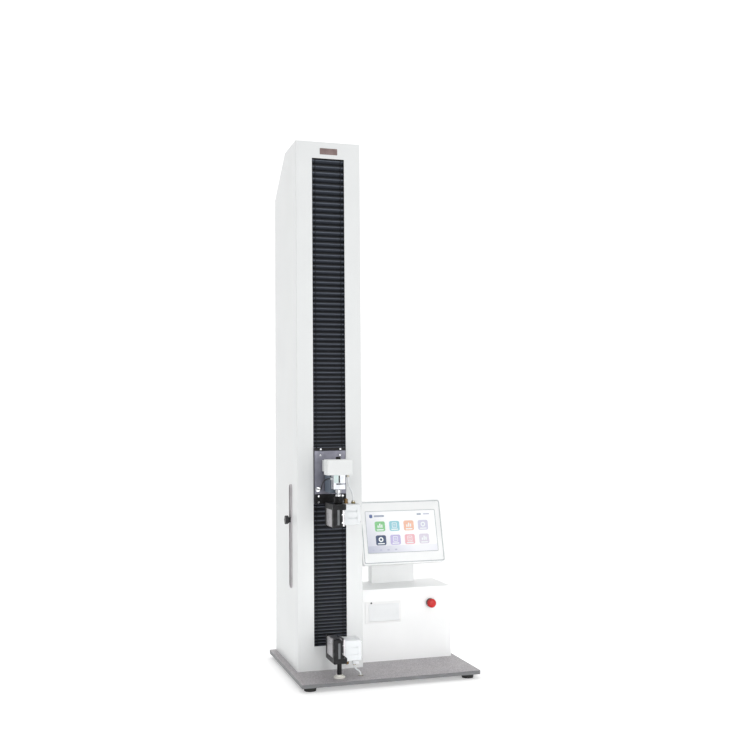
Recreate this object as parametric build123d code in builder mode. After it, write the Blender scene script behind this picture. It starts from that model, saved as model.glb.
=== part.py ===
"""Single-column universal testing machine with pneumatic grips, in millimetres.

The origin is at the centre of the footprint, on the surface that the feet stand on.
+X points to the machine's right, +Y to its back and +Z up.
"""

import os
from math import cos, pi, radians, sin, sqrt, tan

from build123d import *

os.makedirs("parts", exist_ok=True)

# Clearances
fit = 0.05
seat_gap = 0.3

# Base plate and feet
base_width = 483
base_depth = 426
base_thickness = 10
base_corner = 4
base_edge = 0.8
foot_height = 12
foot_radius = 17
foot_draft = 8
foot_inset = 27

# Column of folded sheet
column_width = 180
column_depth = 286.4
column_height = 1420
column_margin = 18.8
column_setback = 133.8
sheet = 2
roof_flat = 140
roof_slope = 36
roof_bend = 25
sheet_bend = 2.4
slot_width = 90
slot_bottom_height = 63.5
slot_top_margin = 45
return_width = 15
ledge_depth = 18
ledge_margin = 5
cover_sheet = 1.6
cover_margin = 2
vent_length = 80
vent_height = 5
vent_pitch = 14
vent_rows = 8
lower_vent_height = 140
upper_vent_drop = 110
cover_corner = 2

# Mast, guides and drive
mast_width = 120
mast_depth = 60
mast_recess_width = 60
mast_recess_depth = 30
mast_front_depth = 72.2
mast_top_margin = 26
mast_core_width = 16
mast_core_depth = 42
mast_core_corner = 3
mast_recess_wall = 6
mast_foot_height = 12
mast_foot_width = 150
mast_foot_reach = 30
mast_foot_front = 7.5
window_height = 42
window_bottom = 30
window_side = 4
rail_width = 15
rail_height = 15
rail_spacing = 90
rail_start = 110
rail_length = 1250
rail_waist = 3
rail_waist_depth = 5
carriage_width = 34
carriage_height = 24
carriage_length = 58
carriage_spacing = 74
carriage_overlap = 11
screw_radius = 8
journal_radius = 6
screw_depth = 62.2
bearing_width = 56
bearing_height = 25
lower_bearing_height = 78
upper_bearing_height = 1350
bearing_recess_radius = 16
bearing_wall = 3
bearing_seal_depth = 3
bearing_seal_lip = 2
pulley_teeth = 24
tooth_pitch = 5
tooth_gap = 2.6
tooth_depth = 1.4
pulley_height = 18
pulley_flange = 1.5
belt_thickness = 1.8
belt_gap = 0.3
pulley_bottom_height = 40
motor_distance = 113
motor_size = 60
motor_length = 130
motor_shaft_radius = 7
motor_bracket_thickness = 8
motor_bracket_width = 78
motor_bracket_height = 72
motor_shelf_height = 78
motor_corner = 6
motor_cap_edge = 2
shaft_engagement = 20
shaft_clearance = 3
motor_plug_width = 24
motor_plug_reach = 12
motor_plug_drop = 10
motor_plug_height = 24
gusset_thickness = 6

# Bellows: the folds hang, so the upper ones of each are pulled further open
bellows_width = 97
bellows_depth = 16
bellows_wall = 2.4
bellows_flange = 1.5
bellows_setback = 1.2
upper_folds = 57
lower_folds = 37
upper_stretch = 0.24
lower_stretch = 0.22

# Crosshead
crosshead_bottom_height = 440
crosshead_height = 150
plate_width = 86
plate_thickness = 8
plate_proud = 4.8
top_bar_height = 8.5
bottom_bar_height = 26
bar_thickness = 3.5
core_width = 80
core_depth = 29
core_corner = 3
plate_corner = 1.5
plate_edge = 0.6
bar_edge = 0.7
saddle_width = 120
saddle_height = 134
saddle_thickness = 12
nut_radius = 14
nut_length = 50
nut_flange_radius = 24
nut_flange_height = 10
nut_flange_flat = 17
nut_block_width = 52
nut_block_height = 60
nut_block_depth = 38

# Load train on the test axis. The arm's height is above the crosshead's bottom
axis_reach = 88.8
arm_width = 67
arm_depth = 40
arm_height = 40
arm_bottom_height = 81
arm_front = 20
arm_corner = 2.5
arm_edge = 1
neck_width = 44
neck_height = 30
neck_drop = 4
pocket_width = 34
pocket_depth = 28
pocket_height = 23
cell_width = 32
cell_depth = 25.4
cell_height = 60
cell_slot = 3
cell_slot_reach = 25
cell_beam = 12
cell_edge = 0.8
cell_gland_rise = 27
gland_radius = 3.5
gland_length = 5
amplifier_width = 30
amplifier_depth = 57
amplifier_height = 55
amplifier_left = 2
amplifier_behind = 1
amplifier_corner = 2
amplifier_edge = 1
joint_height = 19
joint_radius = 7.5
joint_ball_radius = 4.5
joint_flange = 5
joint_slope = 1.5
joint_edge = 2
adaptor_radius = 12
adaptor_height = 18
adaptor_edge = 1.2
adaptor_pin_end = 2
adaptor_pin_radius = 2.5
stud_radius = 6
stud_length = 11

# Grips
grip_half_depth = 44
cheek_thickness = 16.2
grip_left = 25
cheek_right = 2
grip_right = 8.8
bridge_height = 14
grip_height = 60
grip_edge = 1.5
jaw_gap = 4.5
jaw_thickness = 4
jaw_half_depth = 27
jaw_lead = 3
jaw_end_gap = 2
moving_jaw_lead = 2
rod_radius = 8
rod_length = 22
cylinder_centre = 28
cylinder_length = 42
cylinder_depth = 56
cylinder_height = 54
cap_length = 8
cap_step = 0.8
cap_corner = 4
barrel_corner = 3
rod_end_gap = 8
groove_width = 4
groove_depth = 2.5
groove_pitch = 18
lower_grip_height = 44
port_offset = 40
silencer_offset = 20
port_radius = 5
port_length = 15
upper_port_length = 7
silencer_length = 9
hexagon_share = 0.55
collet_step = 1
post_radius = 6
post_edge = 0.8
post_end_gap = 2
flange_radius = 15
flange_height = 4
flange_edge = 1
flange_hub_radius = 9
flange_hub_height = 4

# Hoses and the cell's cable. The connector's height is above the crosshead's bottom
hose_radius = 2
cable_radius = 1.6
grommet_radius = 5
grommet_height = 2
grommet_lip = 2
grommet_right = 18
grommet_back = 2.5
bulkhead_radius = 4
bulkhead_length = 7
bulkhead_inset = 7
bulkhead_back = 4
connector_radius = 6
connector_length = 26
connector_nut = 9
connector_barrel = 19
connector_barrel_radius = 4.8
connector_neck_radius = 3.2
connector_edge = 0.5
connector_x = 36.8
connector_height = 39.5

# Travel limit on the column's left side
limit_slot_width = 20
limit_slot_bottom = 212
limit_slot_length = 276
limit_slot_y = 74
limit_rail_width = 40
limit_rail_thickness = 6
limit_rail_overlap = 12
limit_groove = 9
limit_stop_height = 393.5
limit_block_height = 40
limit_block_thickness = 10
limit_block_back = 15
limit_block_front = 42
limit_block_corner = 3
sensor_radius = 4
sensor_length = 5
sensor_gap = 2
flag_height = 10
flag_depth = 8
knob_radius = 12
knob_lobes = 5
knob_lobe_radius = 4
knob_height = 9
knob_edge = 0.8
knob_neck_radius = 7
knob_reach = 17.5
knob_stem_radius = 4

# Control box
box_width = 270.9
box_depth = 148
box_height = 196.5
box_setback = 48
box_sheet = 1.5
box_bend = 2
lid_line_height = 5
lid_line = 0.7

# Panel printer
printer_width = 103
printer_height = 58
printer_left = 19.7
printer_bottom = 105
bezel_thickness = 2.5
bezel_corner = 2
bezel_edge = 0.6
bay_left = 10
bay_right = 6
bay_bottom = 4
bay_top = 6
bay_depth = 50
bay_wall = 1.5
door_thickness = 3
door_gap = 0.3
door_axis_depth = 0.5
door_pin_radius = 1
door_pin_length = 2
finger_width = 18
finger_height = 20
finger_depth = 1.6
finger_right = 5
roll_radius = 18
roll_width = 57
roll_core_radius = 6
roll_pin_overlap = 4
roll_y = 27
printer_button_radius = 2.2
printer_button_x = 17.6
printer_button_proud = 1.6
printer_button_travel = 1
printer_button_stop = 0.2
printer_button_edge = 0.4

# Emergency stop
estop_x = 210
estop_height = 152
estop_radius = 12.5
estop_head_height = 12
estop_rim_height = 4.5
estop_rim_edge = 1.5
estop_flat_radius = 6
estop_dome_steps = 4
estop_collar_radius = 12
estop_collar_height = 4
estop_travel = 4
estop_stem_radius = 5
estop_collar_edge = 1
estop_body_radius = 9
estop_body_depth = 14
estop_stem_end_gap = 1
estop_block = 30

# Touch screen and its stand, placed from the box's left, front and top
screen_width = 243
screen_height = 179
screen_thickness = 30
screen_corner = 8
screen_tilt = 15
screen_centre_x = 141.6
screen_front_y = 12
screen_bottom_z = 65.5
glass_margin = 4
glass_thickness = 1.4
glass_corner = 5
screen_back_edge = 6
stand_width = 127
stand_left = 72.5
stand_front = 109
stand_depth = 36
stand_wall = 2
stand_low = 28
stand_high = 112
stand_shoulder = 78
stand_shoulder_bend = 8
stand_back_drop = 24
stand_roof = 10

# Inside and at the back of the control box
supply_width = 98
supply_depth = 85
supply_height = 40
supply_left = 8
supply_back = 30
supply_edge = 1.5
terminal_side = 4
terminal_depth = 12
terminal_height = 16
board_width = 130
board_depth = 90
board_thickness = 1.6
board_height = 10
board_margin = 22
standoff_radius = 3
standoff_inset = 6
board_right_gap = 12
board_chips = ((40, 45, 28, 28, 3), (85, 30, 16, 36, 12), (85, 70, 24, 12, 14), (20, 78, 30, 10, 11))
valve_width = 40
valve_depth = 42
valve_height = 45
valve_bottom = 98
valve_right = 60
valve_port_radius = 6
valve_port_length = 12
valve_edge = 2
module_width = 60
module_height = 28
module_x = 60
module_bottom = 40
module_flange = 2.2
module_depth = 26
module_corner = 3
module_rim = 3
pin_thickness = 2
pin_height = 4
pin_setback = 3
pin_places = ((-7, -1.5), (0, 2.5), (7, -1.5))
socket_width = 24.5
socket_height = 16.5
socket_depth = 16
socket_offset = 13
rocker_width = 13
rocker_height = 19
rocker_offset = 19
rocker_tilt = 8
rocker_floor = 13
rocker_pivot_depth = 3.5
rocker_crest = 3.2
rocker_root = 5
rocker_end_gap = 0.6
rocker_pin_radius = 1
fan_radius = 26
fan_height = 122
grille_rows = 7
grille_pitch = 7
grille_slot = 4

# Places worked out from the sizes above
base_top = foot_height + base_thickness
base_left = -base_width / 2
base_front = -base_depth / 2
column_left = base_left + column_margin
column_right = column_left + column_width
column_front = base_front + column_setback
column_back = column_front + column_depth
column_top = base_top + column_height
slot_bottom = base_top + slot_bottom_height
slot_top = column_top - slot_top_margin
axis_x = column_left + column_width / 2
axis_y = column_front - axis_reach
mast_front = column_front + mast_front_depth
mast_back = mast_front + mast_depth
screw_y = column_front + screw_depth
motor_y = screw_y + motor_distance
crosshead_bottom = base_top + crosshead_bottom_height
crosshead_top = crosshead_bottom + crosshead_height
plate_front = column_front - plate_proud
plate_back = plate_front + plate_thickness
core_back = plate_back + core_depth
saddle_back = core_back + saddle_thickness
box_left = column_right
box_right = box_left + box_width
box_front = column_front + box_setback
box_back = box_front + box_depth
box_top = base_top + box_height


def save(piece, name):
    """Labels a finished piece and writes it to its own file."""
    piece.label = name
    export_step(piece, f"parts/{name}.step")


def slab(x, y, z, mode=Mode.ADD):
    """A rectangular block that spans the ranges x, y and z."""
    with BuildSketch(Plane.XY.offset(z[0])) as outline:
        with Locations(((x[0] + x[1]) / 2, (y[0] + y[1]) / 2)):
            Rectangle(x[1] - x[0], y[1] - y[0])
    extrude(outline.sketch, amount=z[1] - z[0], mode=mode)


def disc(start, direction, radius, length, mode=Mode.ADD):
    """A cylinder from a start point along a direction."""
    with BuildSketch(Plane(origin=start, z_dir=direction)) as outline:
        Circle(radius)
    extrude(outline.sketch, amount=length, mode=mode)


def around(centre, width):
    """The range of a width about a centre."""
    return (centre - width / 2, centre + width / 2)


LEFT, RIGHT = (-1, 0, 0), (1, 0, 0)
FORWARD, BACK = (0, -1, 0), (0, 1, 0)
UP, DOWN = (0, 0, 1), (0, 0, -1)

# Base plate, with the bores for the post and for the lower hose
hose_base_x = axis_x + port_offset + grommet_right
hose_base_y = axis_y + grommet_back
with BuildPart() as base_plate:
    slab((base_left, -base_left), (base_front, -base_front), (foot_height, base_top))
    fillet(base_plate.edges().filter_by(Axis.Z), radius=base_corner)
    chamfer(base_plate.faces().sort_by(Axis.Z)[-1].edges(), length=base_edge)
    disc((axis_x, axis_y, base_top), DOWN, post_radius + fit, base_thickness, Mode.SUBTRACT)
    grommet_hole = (hose_base_x, hose_base_y, base_top)
    disc(grommet_hole, DOWN, grommet_radius - 1, base_thickness, Mode.SUBTRACT)
save(base_plate.part, "base_plate")

# Four rubber feet, tapered towards the table
with BuildPart() as base_feet:
    with BuildSketch(Plane.XY.offset(foot_height)):
        with GridLocations(base_width - 2 * foot_inset, base_depth - 2 * foot_inset, 2, 2):
            Circle(foot_radius)
    extrude(amount=-foot_height, taper=foot_draft)
save(base_feet.part, "base_feet")

# Column shell: one folded sheet, open at the back and below
slope = radians(roof_slope)
roof_y = column_front + roof_flat
back_top = column_top - (column_back - roof_y) * tan(slope)
inner_roof_y = roof_y - sheet * tan(slope / 2)
inner_back_y = column_back + 5
inner_back_top = column_top - sheet - (inner_back_y - inner_roof_y) * tan(slope)
limit_y = column_front + limit_slot_y
limit_middle = base_top + limit_slot_bottom + limit_slot_length / 2
with BuildPart() as column_shell:
    with BuildSketch(Plane.YZ.offset(column_left)) as side:
        with BuildLine():
            Polyline(
                (column_front, base_top),
                (column_front, column_top),
                (roof_y, column_top),
                (column_back, back_top),
                (column_back, base_top),
                close=True,
            )
        make_face()
        fillet(side.vertices().group_by(Axis.Y)[-1].sort_by(Axis.X)[-1], radius=roof_bend)
    extrude(amount=column_width)
    front_face = column_shell.faces().sort_by(Axis.Y)[0]
    fillet(front_face.edges().filter_by(Axis.Z), radius=sheet_bend)
    with BuildSketch(Plane.YZ.offset(column_left + sheet)) as hollow:
        with BuildLine():
            Polyline(
                (column_front + sheet, base_top),
                (column_front + sheet, column_top - sheet),
                (inner_roof_y, column_top - sheet),
                (inner_back_y, inner_back_top),
                (inner_back_y, base_top),
                close=True,
            )
        make_face()
        inner_bend = hollow.vertices().group_by(Axis.Y)[-1].sort_by(Axis.X)[-1]
        fillet(inner_bend, radius=roof_bend - sheet)
    extrude(amount=column_width - 2 * sheet, mode=Mode.SUBTRACT)
    slab(
        around(axis_x, slot_width),
        (column_front - 1, column_front + sheet + 1),
        (slot_bottom, slot_top),
        Mode.SUBTRACT,
    )
    with BuildSketch(Plane.YZ.offset(column_left - 1)) as limit_slot:
        with Locations((limit_y, limit_middle)):
            SlotOverall(limit_slot_length, limit_slot_width, rotation=90)
    extrude(amount=sheet + 2, mode=Mode.SUBTRACT)
    for ledge_bottom in (slot_bottom - ledge_margin - sheet, slot_top + ledge_margin):
        slab(
            around(axis_x, bellows_width),
            (column_front + sheet, column_front + sheet + ledge_depth),
            (ledge_bottom, ledge_bottom + sheet),
        )
    for side_x in (column_left + sheet, column_right - sheet - return_width):
        slab(
            (side_x, side_x + return_width),
            (column_back - sheet, column_back),
            (base_top, back_top - sheet),
        )
save(column_shell.part, "column_shell")

# Rear cover with vents at the motor and near the top
cover_bottom = base_top + cover_margin
cover_top = back_top - cover_margin
with BuildPart() as rear_cover:
    slab(
        around(axis_x, column_width - 2 * cover_margin),
        (column_back, column_back + cover_sheet),
        (cover_bottom, cover_top),
    )
    fillet(rear_cover.edges().filter_by(Axis.Y), radius=cover_corner)
    with BuildSketch(Plane.XZ.offset(-column_back - cover_sheet - 1)):
        for vents_z in (base_top + lower_vent_height, cover_top - upper_vent_drop):
            with Locations((axis_x, vents_z)):
                with GridLocations(0, vent_pitch, 1, vent_rows):
                    Rectangle(vent_length, vent_height)
    extrude(amount=cover_sheet + 2, mode=Mode.SUBTRACT)
save(rear_cover.part, "rear_cover")

# Mast: an extruded profile with cores, a welded foot and a window for the belt
mast_top = column_top - mast_top_margin
leg_width = (mast_width - mast_recess_width) / 2
recess_floor = mast_front + mast_recess_depth
web_thickness = mast_depth - mast_recess_depth
with BuildPart() as mast:
    with BuildSketch(Plane.XY.offset(base_top)):
        with Locations((axis_x, mast_front + mast_depth / 2)):
            Rectangle(mast_width, mast_depth)
        with Locations((axis_x, mast_front + mast_recess_depth / 2)):
            Rectangle(mast_recess_width, mast_recess_depth, mode=Mode.SUBTRACT)
        for leg_x in around(axis_x, mast_width - leg_width):
            with Locations((leg_x, mast_front + mast_depth / 2)):
                RectangleRounded(mast_core_width, mast_core_depth, mast_core_corner, mode=Mode.SUBTRACT)
        with Locations((axis_x, recess_floor + web_thickness / 2)):
            RectangleRounded(
                mast_recess_width - 2 * mast_recess_wall,
                web_thickness / 2,
                mast_core_corner,
                mode=Mode.SUBTRACT,
            )
    extrude(amount=mast_top - base_top)
    slab(
        around(axis_x, mast_recess_width - 2 * window_side),
        (mast_front - 1, mast_back + 1),
        (base_top + window_bottom, base_top + window_bottom + window_height),
        Mode.SUBTRACT,
    )
    slab(
        around(axis_x, mast_foot_width),
        (mast_front - mast_foot_front, mast_back + mast_foot_reach),
        (base_top, base_top + mast_foot_height),
    )
save(mast.part, "mast")

# Two guide rails with waisted sides
rail_bottom = base_top + rail_start
rail_xs = around(axis_x, rail_spacing)
with BuildPart() as guide_rails:
    with BuildSketch(Plane.XY.offset(rail_bottom)):
        for rail_x in rail_xs:
            with Locations((rail_x, mast_front - rail_height / 2)):
                Rectangle(rail_width, rail_height)
            waist_y = mast_front - rail_height + rail_waist_depth
            with Locations(*[(x, waist_y) for x in around(rail_x, rail_width)]):
                Rectangle(rail_waist, rail_waist, rotation=45, mode=Mode.SUBTRACT)
    extrude(amount=rail_length)
save(guide_rails.part, "guide_rails")

# Four carriages, two on each rail, each with a channel over its rail
carriage_middle = crosshead_bottom + crosshead_height / 2
carriage_zs = around(carriage_middle, carriage_spacing)
with BuildPart() as guide_carriages:
    for carriage_z in carriage_zs:
        with BuildSketch(Plane.XY.offset(carriage_z - carriage_length / 2)):
            for rail_x in rail_xs:
                with Locations((rail_x, saddle_back + carriage_height / 2)):
                    Rectangle(carriage_width, carriage_height)
                with Locations((rail_x, mast_front - rail_height / 2)):
                    Rectangle(rail_width + 2 * fit, rail_height + 2 * fit, mode=Mode.SUBTRACT)
        extrude(amount=carriage_length)
save(guide_carriages.part, "guide_carriages")

# Bearing blocks of the ball screw, each with a recess for its bearing
bearing_bottoms = (base_top + lower_bearing_height, base_top + upper_bearing_height)
with BuildPart() as bearing_blocks:
    for bearing_bottom in bearing_bottoms:
        slab(
            around(axis_x, bearing_width),
            (screw_y - bearing_recess_radius - bearing_wall, recess_floor),
            (bearing_bottom, bearing_bottom + bearing_height),
        )
    for bearing_bottom in bearing_bottoms:
        bearing_foot = (axis_x, screw_y, bearing_bottom)
        disc(bearing_foot, UP, journal_radius + fit, bearing_height, Mode.SUBTRACT)
        seal_radius = bearing_recess_radius - bearing_seal_lip
        disc(bearing_foot, UP, seal_radius, bearing_seal_depth, Mode.SUBTRACT)
save(bearing_blocks.part, "bearing_blocks")

# Ball screw: the threaded length between two journals
pulley_bottom = base_top + pulley_bottom_height
screw_start = bearing_bottoms[0] + bearing_height + seat_gap
screw_end = bearing_bottoms[1] - seat_gap
with BuildPart() as ball_screw:
    disc((axis_x, screw_y, screw_start), UP, screw_radius, screw_end - screw_start)
    chamfer(ball_screw.edges().filter_by(GeomType.CIRCLE), length=1)
    disc((axis_x, screw_y, pulley_bottom), UP, journal_radius, screw_start - pulley_bottom)
    disc((axis_x, screw_y, screw_end), UP, journal_radius, bearing_height)
save(ball_screw.part, "ball_screw")

# Two equal toothed pulleys, one on the screw and one on the motor's shaft
pitch_radius = pulley_teeth * tooth_pitch / (2 * pi)
pulley_radius = pitch_radius - 0.6
belt_inner = pulley_radius + belt_gap
belt_outer = belt_inner + belt_thickness


def toothed_pulley(centre_y, bore):
    """A pulley with tooth gaps round its rim and a flange at each end."""
    top = pulley_bottom + pulley_height
    with BuildPart() as pulley:
        with BuildSketch(Plane.XY.offset(pulley_bottom)):
            with Locations((axis_x, centre_y)):
                Circle(pulley_radius)
                with PolarLocations(pulley_radius, pulley_teeth):
                    Rectangle(2 * tooth_depth, tooth_gap, mode=Mode.SUBTRACT)
        extrude(amount=pulley_height)
        for flange_bottom in (pulley_bottom, top - pulley_flange):
            disc((axis_x, centre_y, flange_bottom), UP, belt_outer + 1, pulley_flange)
        if bore:
            disc((axis_x, centre_y, pulley_bottom), UP, bore, pulley_height, Mode.SUBTRACT)
    return pulley


screw_pulley = toothed_pulley(screw_y, journal_radius + fit)
save(screw_pulley.part, "screw_pulley")

shelf_bottom = base_top + motor_shelf_height - motor_bracket_thickness
motor_bottom = base_top + motor_shelf_height
motor_pulley = toothed_pulley(motor_y, 0)
with BuildPart() as motor_rotor:
    add(motor_pulley.part)
    shaft_top = motor_bottom + shaft_engagement
    pulley_top = pulley_bottom + pulley_height
    disc((axis_x, motor_y, pulley_top), UP, motor_shaft_radius, shaft_top - pulley_top)
save(motor_rotor.part, "motor_pulley")

# Timing belt round the two pulleys, between their flanges
belt_bottom = pulley_bottom + pulley_flange + belt_gap
belt_width = pulley_height - 2 * (pulley_flange + belt_gap)
with BuildPart() as timing_belt:
    with BuildSketch(Plane.XY.offset(belt_bottom)):
        with Locations((axis_x, (screw_y + motor_y) / 2)):
            SlotCenterToCenter(motor_distance, 2 * belt_outer, rotation=90)
            SlotCenterToCenter(motor_distance, 2 * belt_inner, rotation=90, mode=Mode.SUBTRACT)
    extrude(amount=belt_width)
save(timing_belt.part, "timing_belt")

# Servo motor, standing on its bracket with its shaft down
with BuildPart() as drive_motor:
    with BuildSketch(Plane.XY.offset(motor_bottom)):
        with Locations((axis_x, motor_y)):
            RectangleRounded(motor_size, motor_size, motor_corner)
    extrude(amount=motor_length)
    chamfer(drive_motor.faces().sort_by(Axis.Z)[-1].edges(), length=motor_cap_edge)
    shaft_bore = motor_shaft_radius + fit
    disc((axis_x, motor_y, motor_bottom), UP, shaft_bore, shaft_engagement + 2, Mode.SUBTRACT)
    plug_top = motor_bottom + motor_length - motor_plug_drop
    motor_back = motor_y + motor_size / 2
    slab(
        around(axis_x, motor_plug_width),
        (motor_back, motor_back + motor_plug_reach),
        (plug_top - motor_plug_height, plug_top),
    )
save(drive_motor.part, "drive_motor")

# Motor bracket: a shelf, a back plate and two gussets
bracket_top = shelf_bottom + motor_bracket_height
bracket_x = around(axis_x, motor_bracket_width)
shelf_end = motor_y + motor_size / 2
with BuildPart() as motor_bracket:
    slab(bracket_x, (mast_back, mast_back + motor_bracket_thickness), (shelf_bottom, bracket_top))
    slab(bracket_x, (mast_back, shelf_end), (shelf_bottom, motor_bottom))
    for gusset_x in (bracket_x[0], bracket_x[1] - gusset_thickness):
        with BuildSketch(Plane.YZ.offset(gusset_x)):
            with BuildLine():
                Polyline(
                    (mast_back, motor_bottom),
                    (shelf_end, motor_bottom),
                    (mast_back + motor_bracket_thickness, bracket_top),
                    (mast_back, bracket_top),
                    close=True,
                )
            make_face()
        extrude(amount=gusset_thickness)
    shelf_foot = (axis_x, motor_y, shelf_bottom)
    shaft_hole = motor_shaft_radius + shaft_clearance
    disc(shelf_foot, UP, shaft_hole, motor_bracket_thickness, Mode.SUBTRACT)
save(motor_bracket.part, "motor_bracket")

# Bellows: a folded sheet with a flat flange at each end
bellows_y = column_front + sheet + bellows_setback
ledge_low = slot_bottom - ledge_margin
ledge_high = slot_top + ledge_margin


def bellows(bottom, top, folds, stretch):
    """A pleated sheet whose folds grow from the bottom up, by stretch either side of their mean."""
    z = bottom + bellows_flange
    middle = (folds - 1) / 2
    sizes = [1 + stretch * (i - middle) / middle for i in range(folds)]
    unit = (top - bottom - 2 * bellows_flange) / sum(sizes)
    inner_y = bellows_y + bellows_depth - bellows_wall
    edge = [(inner_y, z)]
    for size in sizes:
        edge.append((bellows_y, z + size * unit / 2))
        z += size * unit
        edge.append((inner_y, z))
    thickened = [(y + bellows_wall, height) for y, height in reversed(edge)]
    with BuildPart() as folded:
        with BuildSketch(Plane.YZ.offset(axis_x - bellows_width / 2)):
            with BuildLine():
                Polyline(*edge, *thickened, close=True)
            make_face()
        extrude(amount=bellows_width)
        for flange_bottom in (bottom, top - bellows_flange):
            slab(
                around(axis_x, bellows_width),
                (bellows_y, bellows_y + bellows_depth),
                (flange_bottom, flange_bottom + bellows_flange),
            )
    return folded


bellows_upper = bellows(crosshead_top, ledge_high, upper_folds, upper_stretch)
save(bellows_upper.part, "bellows_upper")
bellows_lower = bellows(ledge_low, crosshead_bottom, lower_folds, lower_stretch)
save(bellows_lower.part, "bellows_lower")

# Crosshead saddle: the core through the slot, the plate on the carriages and the nut block
nut_z = around(carriage_middle, nut_block_height)
mast_left = axis_x - mast_width / 2
limit_block_inner = column_left + sheet + limit_rail_thickness + seat_gap
sensor_tip = limit_block_inner + limit_block_thickness + sensor_length
with BuildPart() as crosshead_saddle:
    slab(
        around(axis_x, core_width),
        (plate_back, core_back),
        (crosshead_bottom, crosshead_top),
    )
    fillet(crosshead_saddle.edges().filter_by(Axis.Y), radius=core_corner)
    slab(
        around(axis_x, saddle_width),
        (core_back, saddle_back),
        around(carriage_middle, saddle_height),
    )
    slab(around(axis_x, nut_block_width), (saddle_back, saddle_back + nut_block_depth), nut_z)
    nut_foot = (axis_x, screw_y, nut_z[0])
    disc(nut_foot, UP, nut_radius + fit, nut_block_height, Mode.SUBTRACT)
    flag_x = (sensor_tip + sensor_gap, axis_x - saddle_width / 2)
    flag_bottom = carriage_middle - saddle_height / 2
    slab(flag_x, (core_back, core_back + flag_depth), (flag_bottom, flag_bottom + flag_height))
save(crosshead_saddle.part, "crosshead_saddle")

# Ball nut, with a flange that has two flats
with BuildPart() as ball_nut:
    disc((axis_x, screw_y, nut_z[0]), UP, nut_radius, nut_length)
    with BuildSketch(Plane.XY.offset(nut_z[0] - nut_flange_height)) as nut_flange:
        with Locations((axis_x, screw_y)):
            Circle(nut_flange_radius)
            Rectangle(2 * nut_flange_radius, 2 * nut_flange_flat, mode=Mode.INTERSECT)
    extrude(amount=nut_flange_height)
    nut_start = (axis_x, screw_y, nut_z[0] - nut_flange_height)
    disc(nut_start, UP, screw_radius + fit, nut_length + nut_flange_height, Mode.SUBTRACT)
save(ball_nut.part, "ball_nut")

# Crosshead plate and the two bars that clamp the bellows
connector_z = crosshead_bottom + connector_height
with BuildPart() as crosshead_plate:
    slab(
        around(axis_x, plate_width),
        (plate_front, plate_back),
        (crosshead_bottom, crosshead_top),
    )
    fillet(crosshead_plate.edges().filter_by(Axis.Y), radius=plate_corner)
    chamfer(crosshead_plate.faces().sort_by(Axis.Y)[0].edges(), length=plate_edge)
save(crosshead_plate.part, "crosshead_plate")

bar_front = plate_front - bar_thickness
with BuildPart() as clamp_bars:
    slab(
        around(axis_x, plate_width),
        (bar_front, plate_front),
        (crosshead_bottom, crosshead_bottom + bottom_bar_height),
    )
    slab(
        around(axis_x, plate_width),
        (bar_front, plate_front),
        (crosshead_top - top_bar_height, crosshead_top),
    )
    chamfer(clamp_bars.faces().filter_by(Plane.XZ).group_by(Axis.Y)[0].edges(), length=bar_edge)
save(clamp_bars.part, "clamp_bars")

# White load arm: a neck from the plate and a head with a pocket for the cell
arm_bottom = crosshead_bottom + arm_bottom_height
arm_top = arm_bottom + arm_height
head_y = (axis_y - arm_front, axis_y - arm_front + arm_depth)
neck_z = (arm_top - neck_drop - neck_height, arm_top - neck_drop)
with BuildPart() as load_arm:
    slab(around(axis_x, arm_width), head_y, (arm_bottom, arm_top))
    fillet(load_arm.edges().filter_by(Axis.Z), radius=arm_corner)
    chamfer(load_arm.faces().sort_by(Axis.Z)[-1].edges(), length=arm_edge)
    slab(around(axis_x, neck_width), (head_y[1], plate_front), neck_z)
    slab(
        around(axis_x, pocket_width),
        around(axis_y, pocket_depth),
        (arm_bottom, arm_bottom + pocket_height),
        Mode.SUBTRACT,
    )
save(load_arm.part, "load_arm")

# Signal amplifier of the cell, under the neck
amplifier_right = axis_x + amplifier_width / 2 - amplifier_left
amplifier_front = head_y[1] + amplifier_behind
with BuildPart() as cell_amplifier:
    slab(
        (amplifier_right - amplifier_width, amplifier_right),
        (amplifier_front, amplifier_front + amplifier_depth),
        (neck_z[0] - amplifier_height, neck_z[0]),
    )
    fillet(cell_amplifier.edges().filter_by(Axis.Z), radius=amplifier_corner)
    chamfer(cell_amplifier.faces().sort_by(Axis.Z)[0].edges(), length=amplifier_edge)
save(cell_amplifier.part, "cell_amplifier")

# Load cell: an S-shaped beam, cut from both sides, with a gland for its cable
cell_top = arm_bottom + pocket_height
cell_bottom = cell_top - cell_height
cell_left = axis_x - cell_width / 2
cell_right = axis_x + cell_width / 2
cell_y = around(axis_y, cell_depth)
gland_height = cell_bottom + cell_gland_rise
with BuildPart() as load_cell:
    slab((cell_left, cell_right), cell_y, (cell_bottom, cell_top))
    chamfer(load_cell.edges().filter_by(Axis.Z), length=cell_edge)
    low_slot = cell_bottom + cell_beam
    high_slot = cell_top - cell_beam - cell_slot
    slab(
        (cell_right - cell_slot_reach, cell_right + 1),
        (cell_y[0] - 1, cell_y[1] + 1),
        (low_slot, low_slot + cell_slot),
        Mode.SUBTRACT,
    )
    slab(
        (cell_left - 1, cell_left + cell_slot_reach),
        (cell_y[0] - 1, cell_y[1] + 1),
        (high_slot, high_slot + cell_slot),
        Mode.SUBTRACT,
    )
    disc((cell_left, axis_y, gland_height), LEFT, gland_radius, gland_length)
save(load_cell.part, "load_cell")

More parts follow.
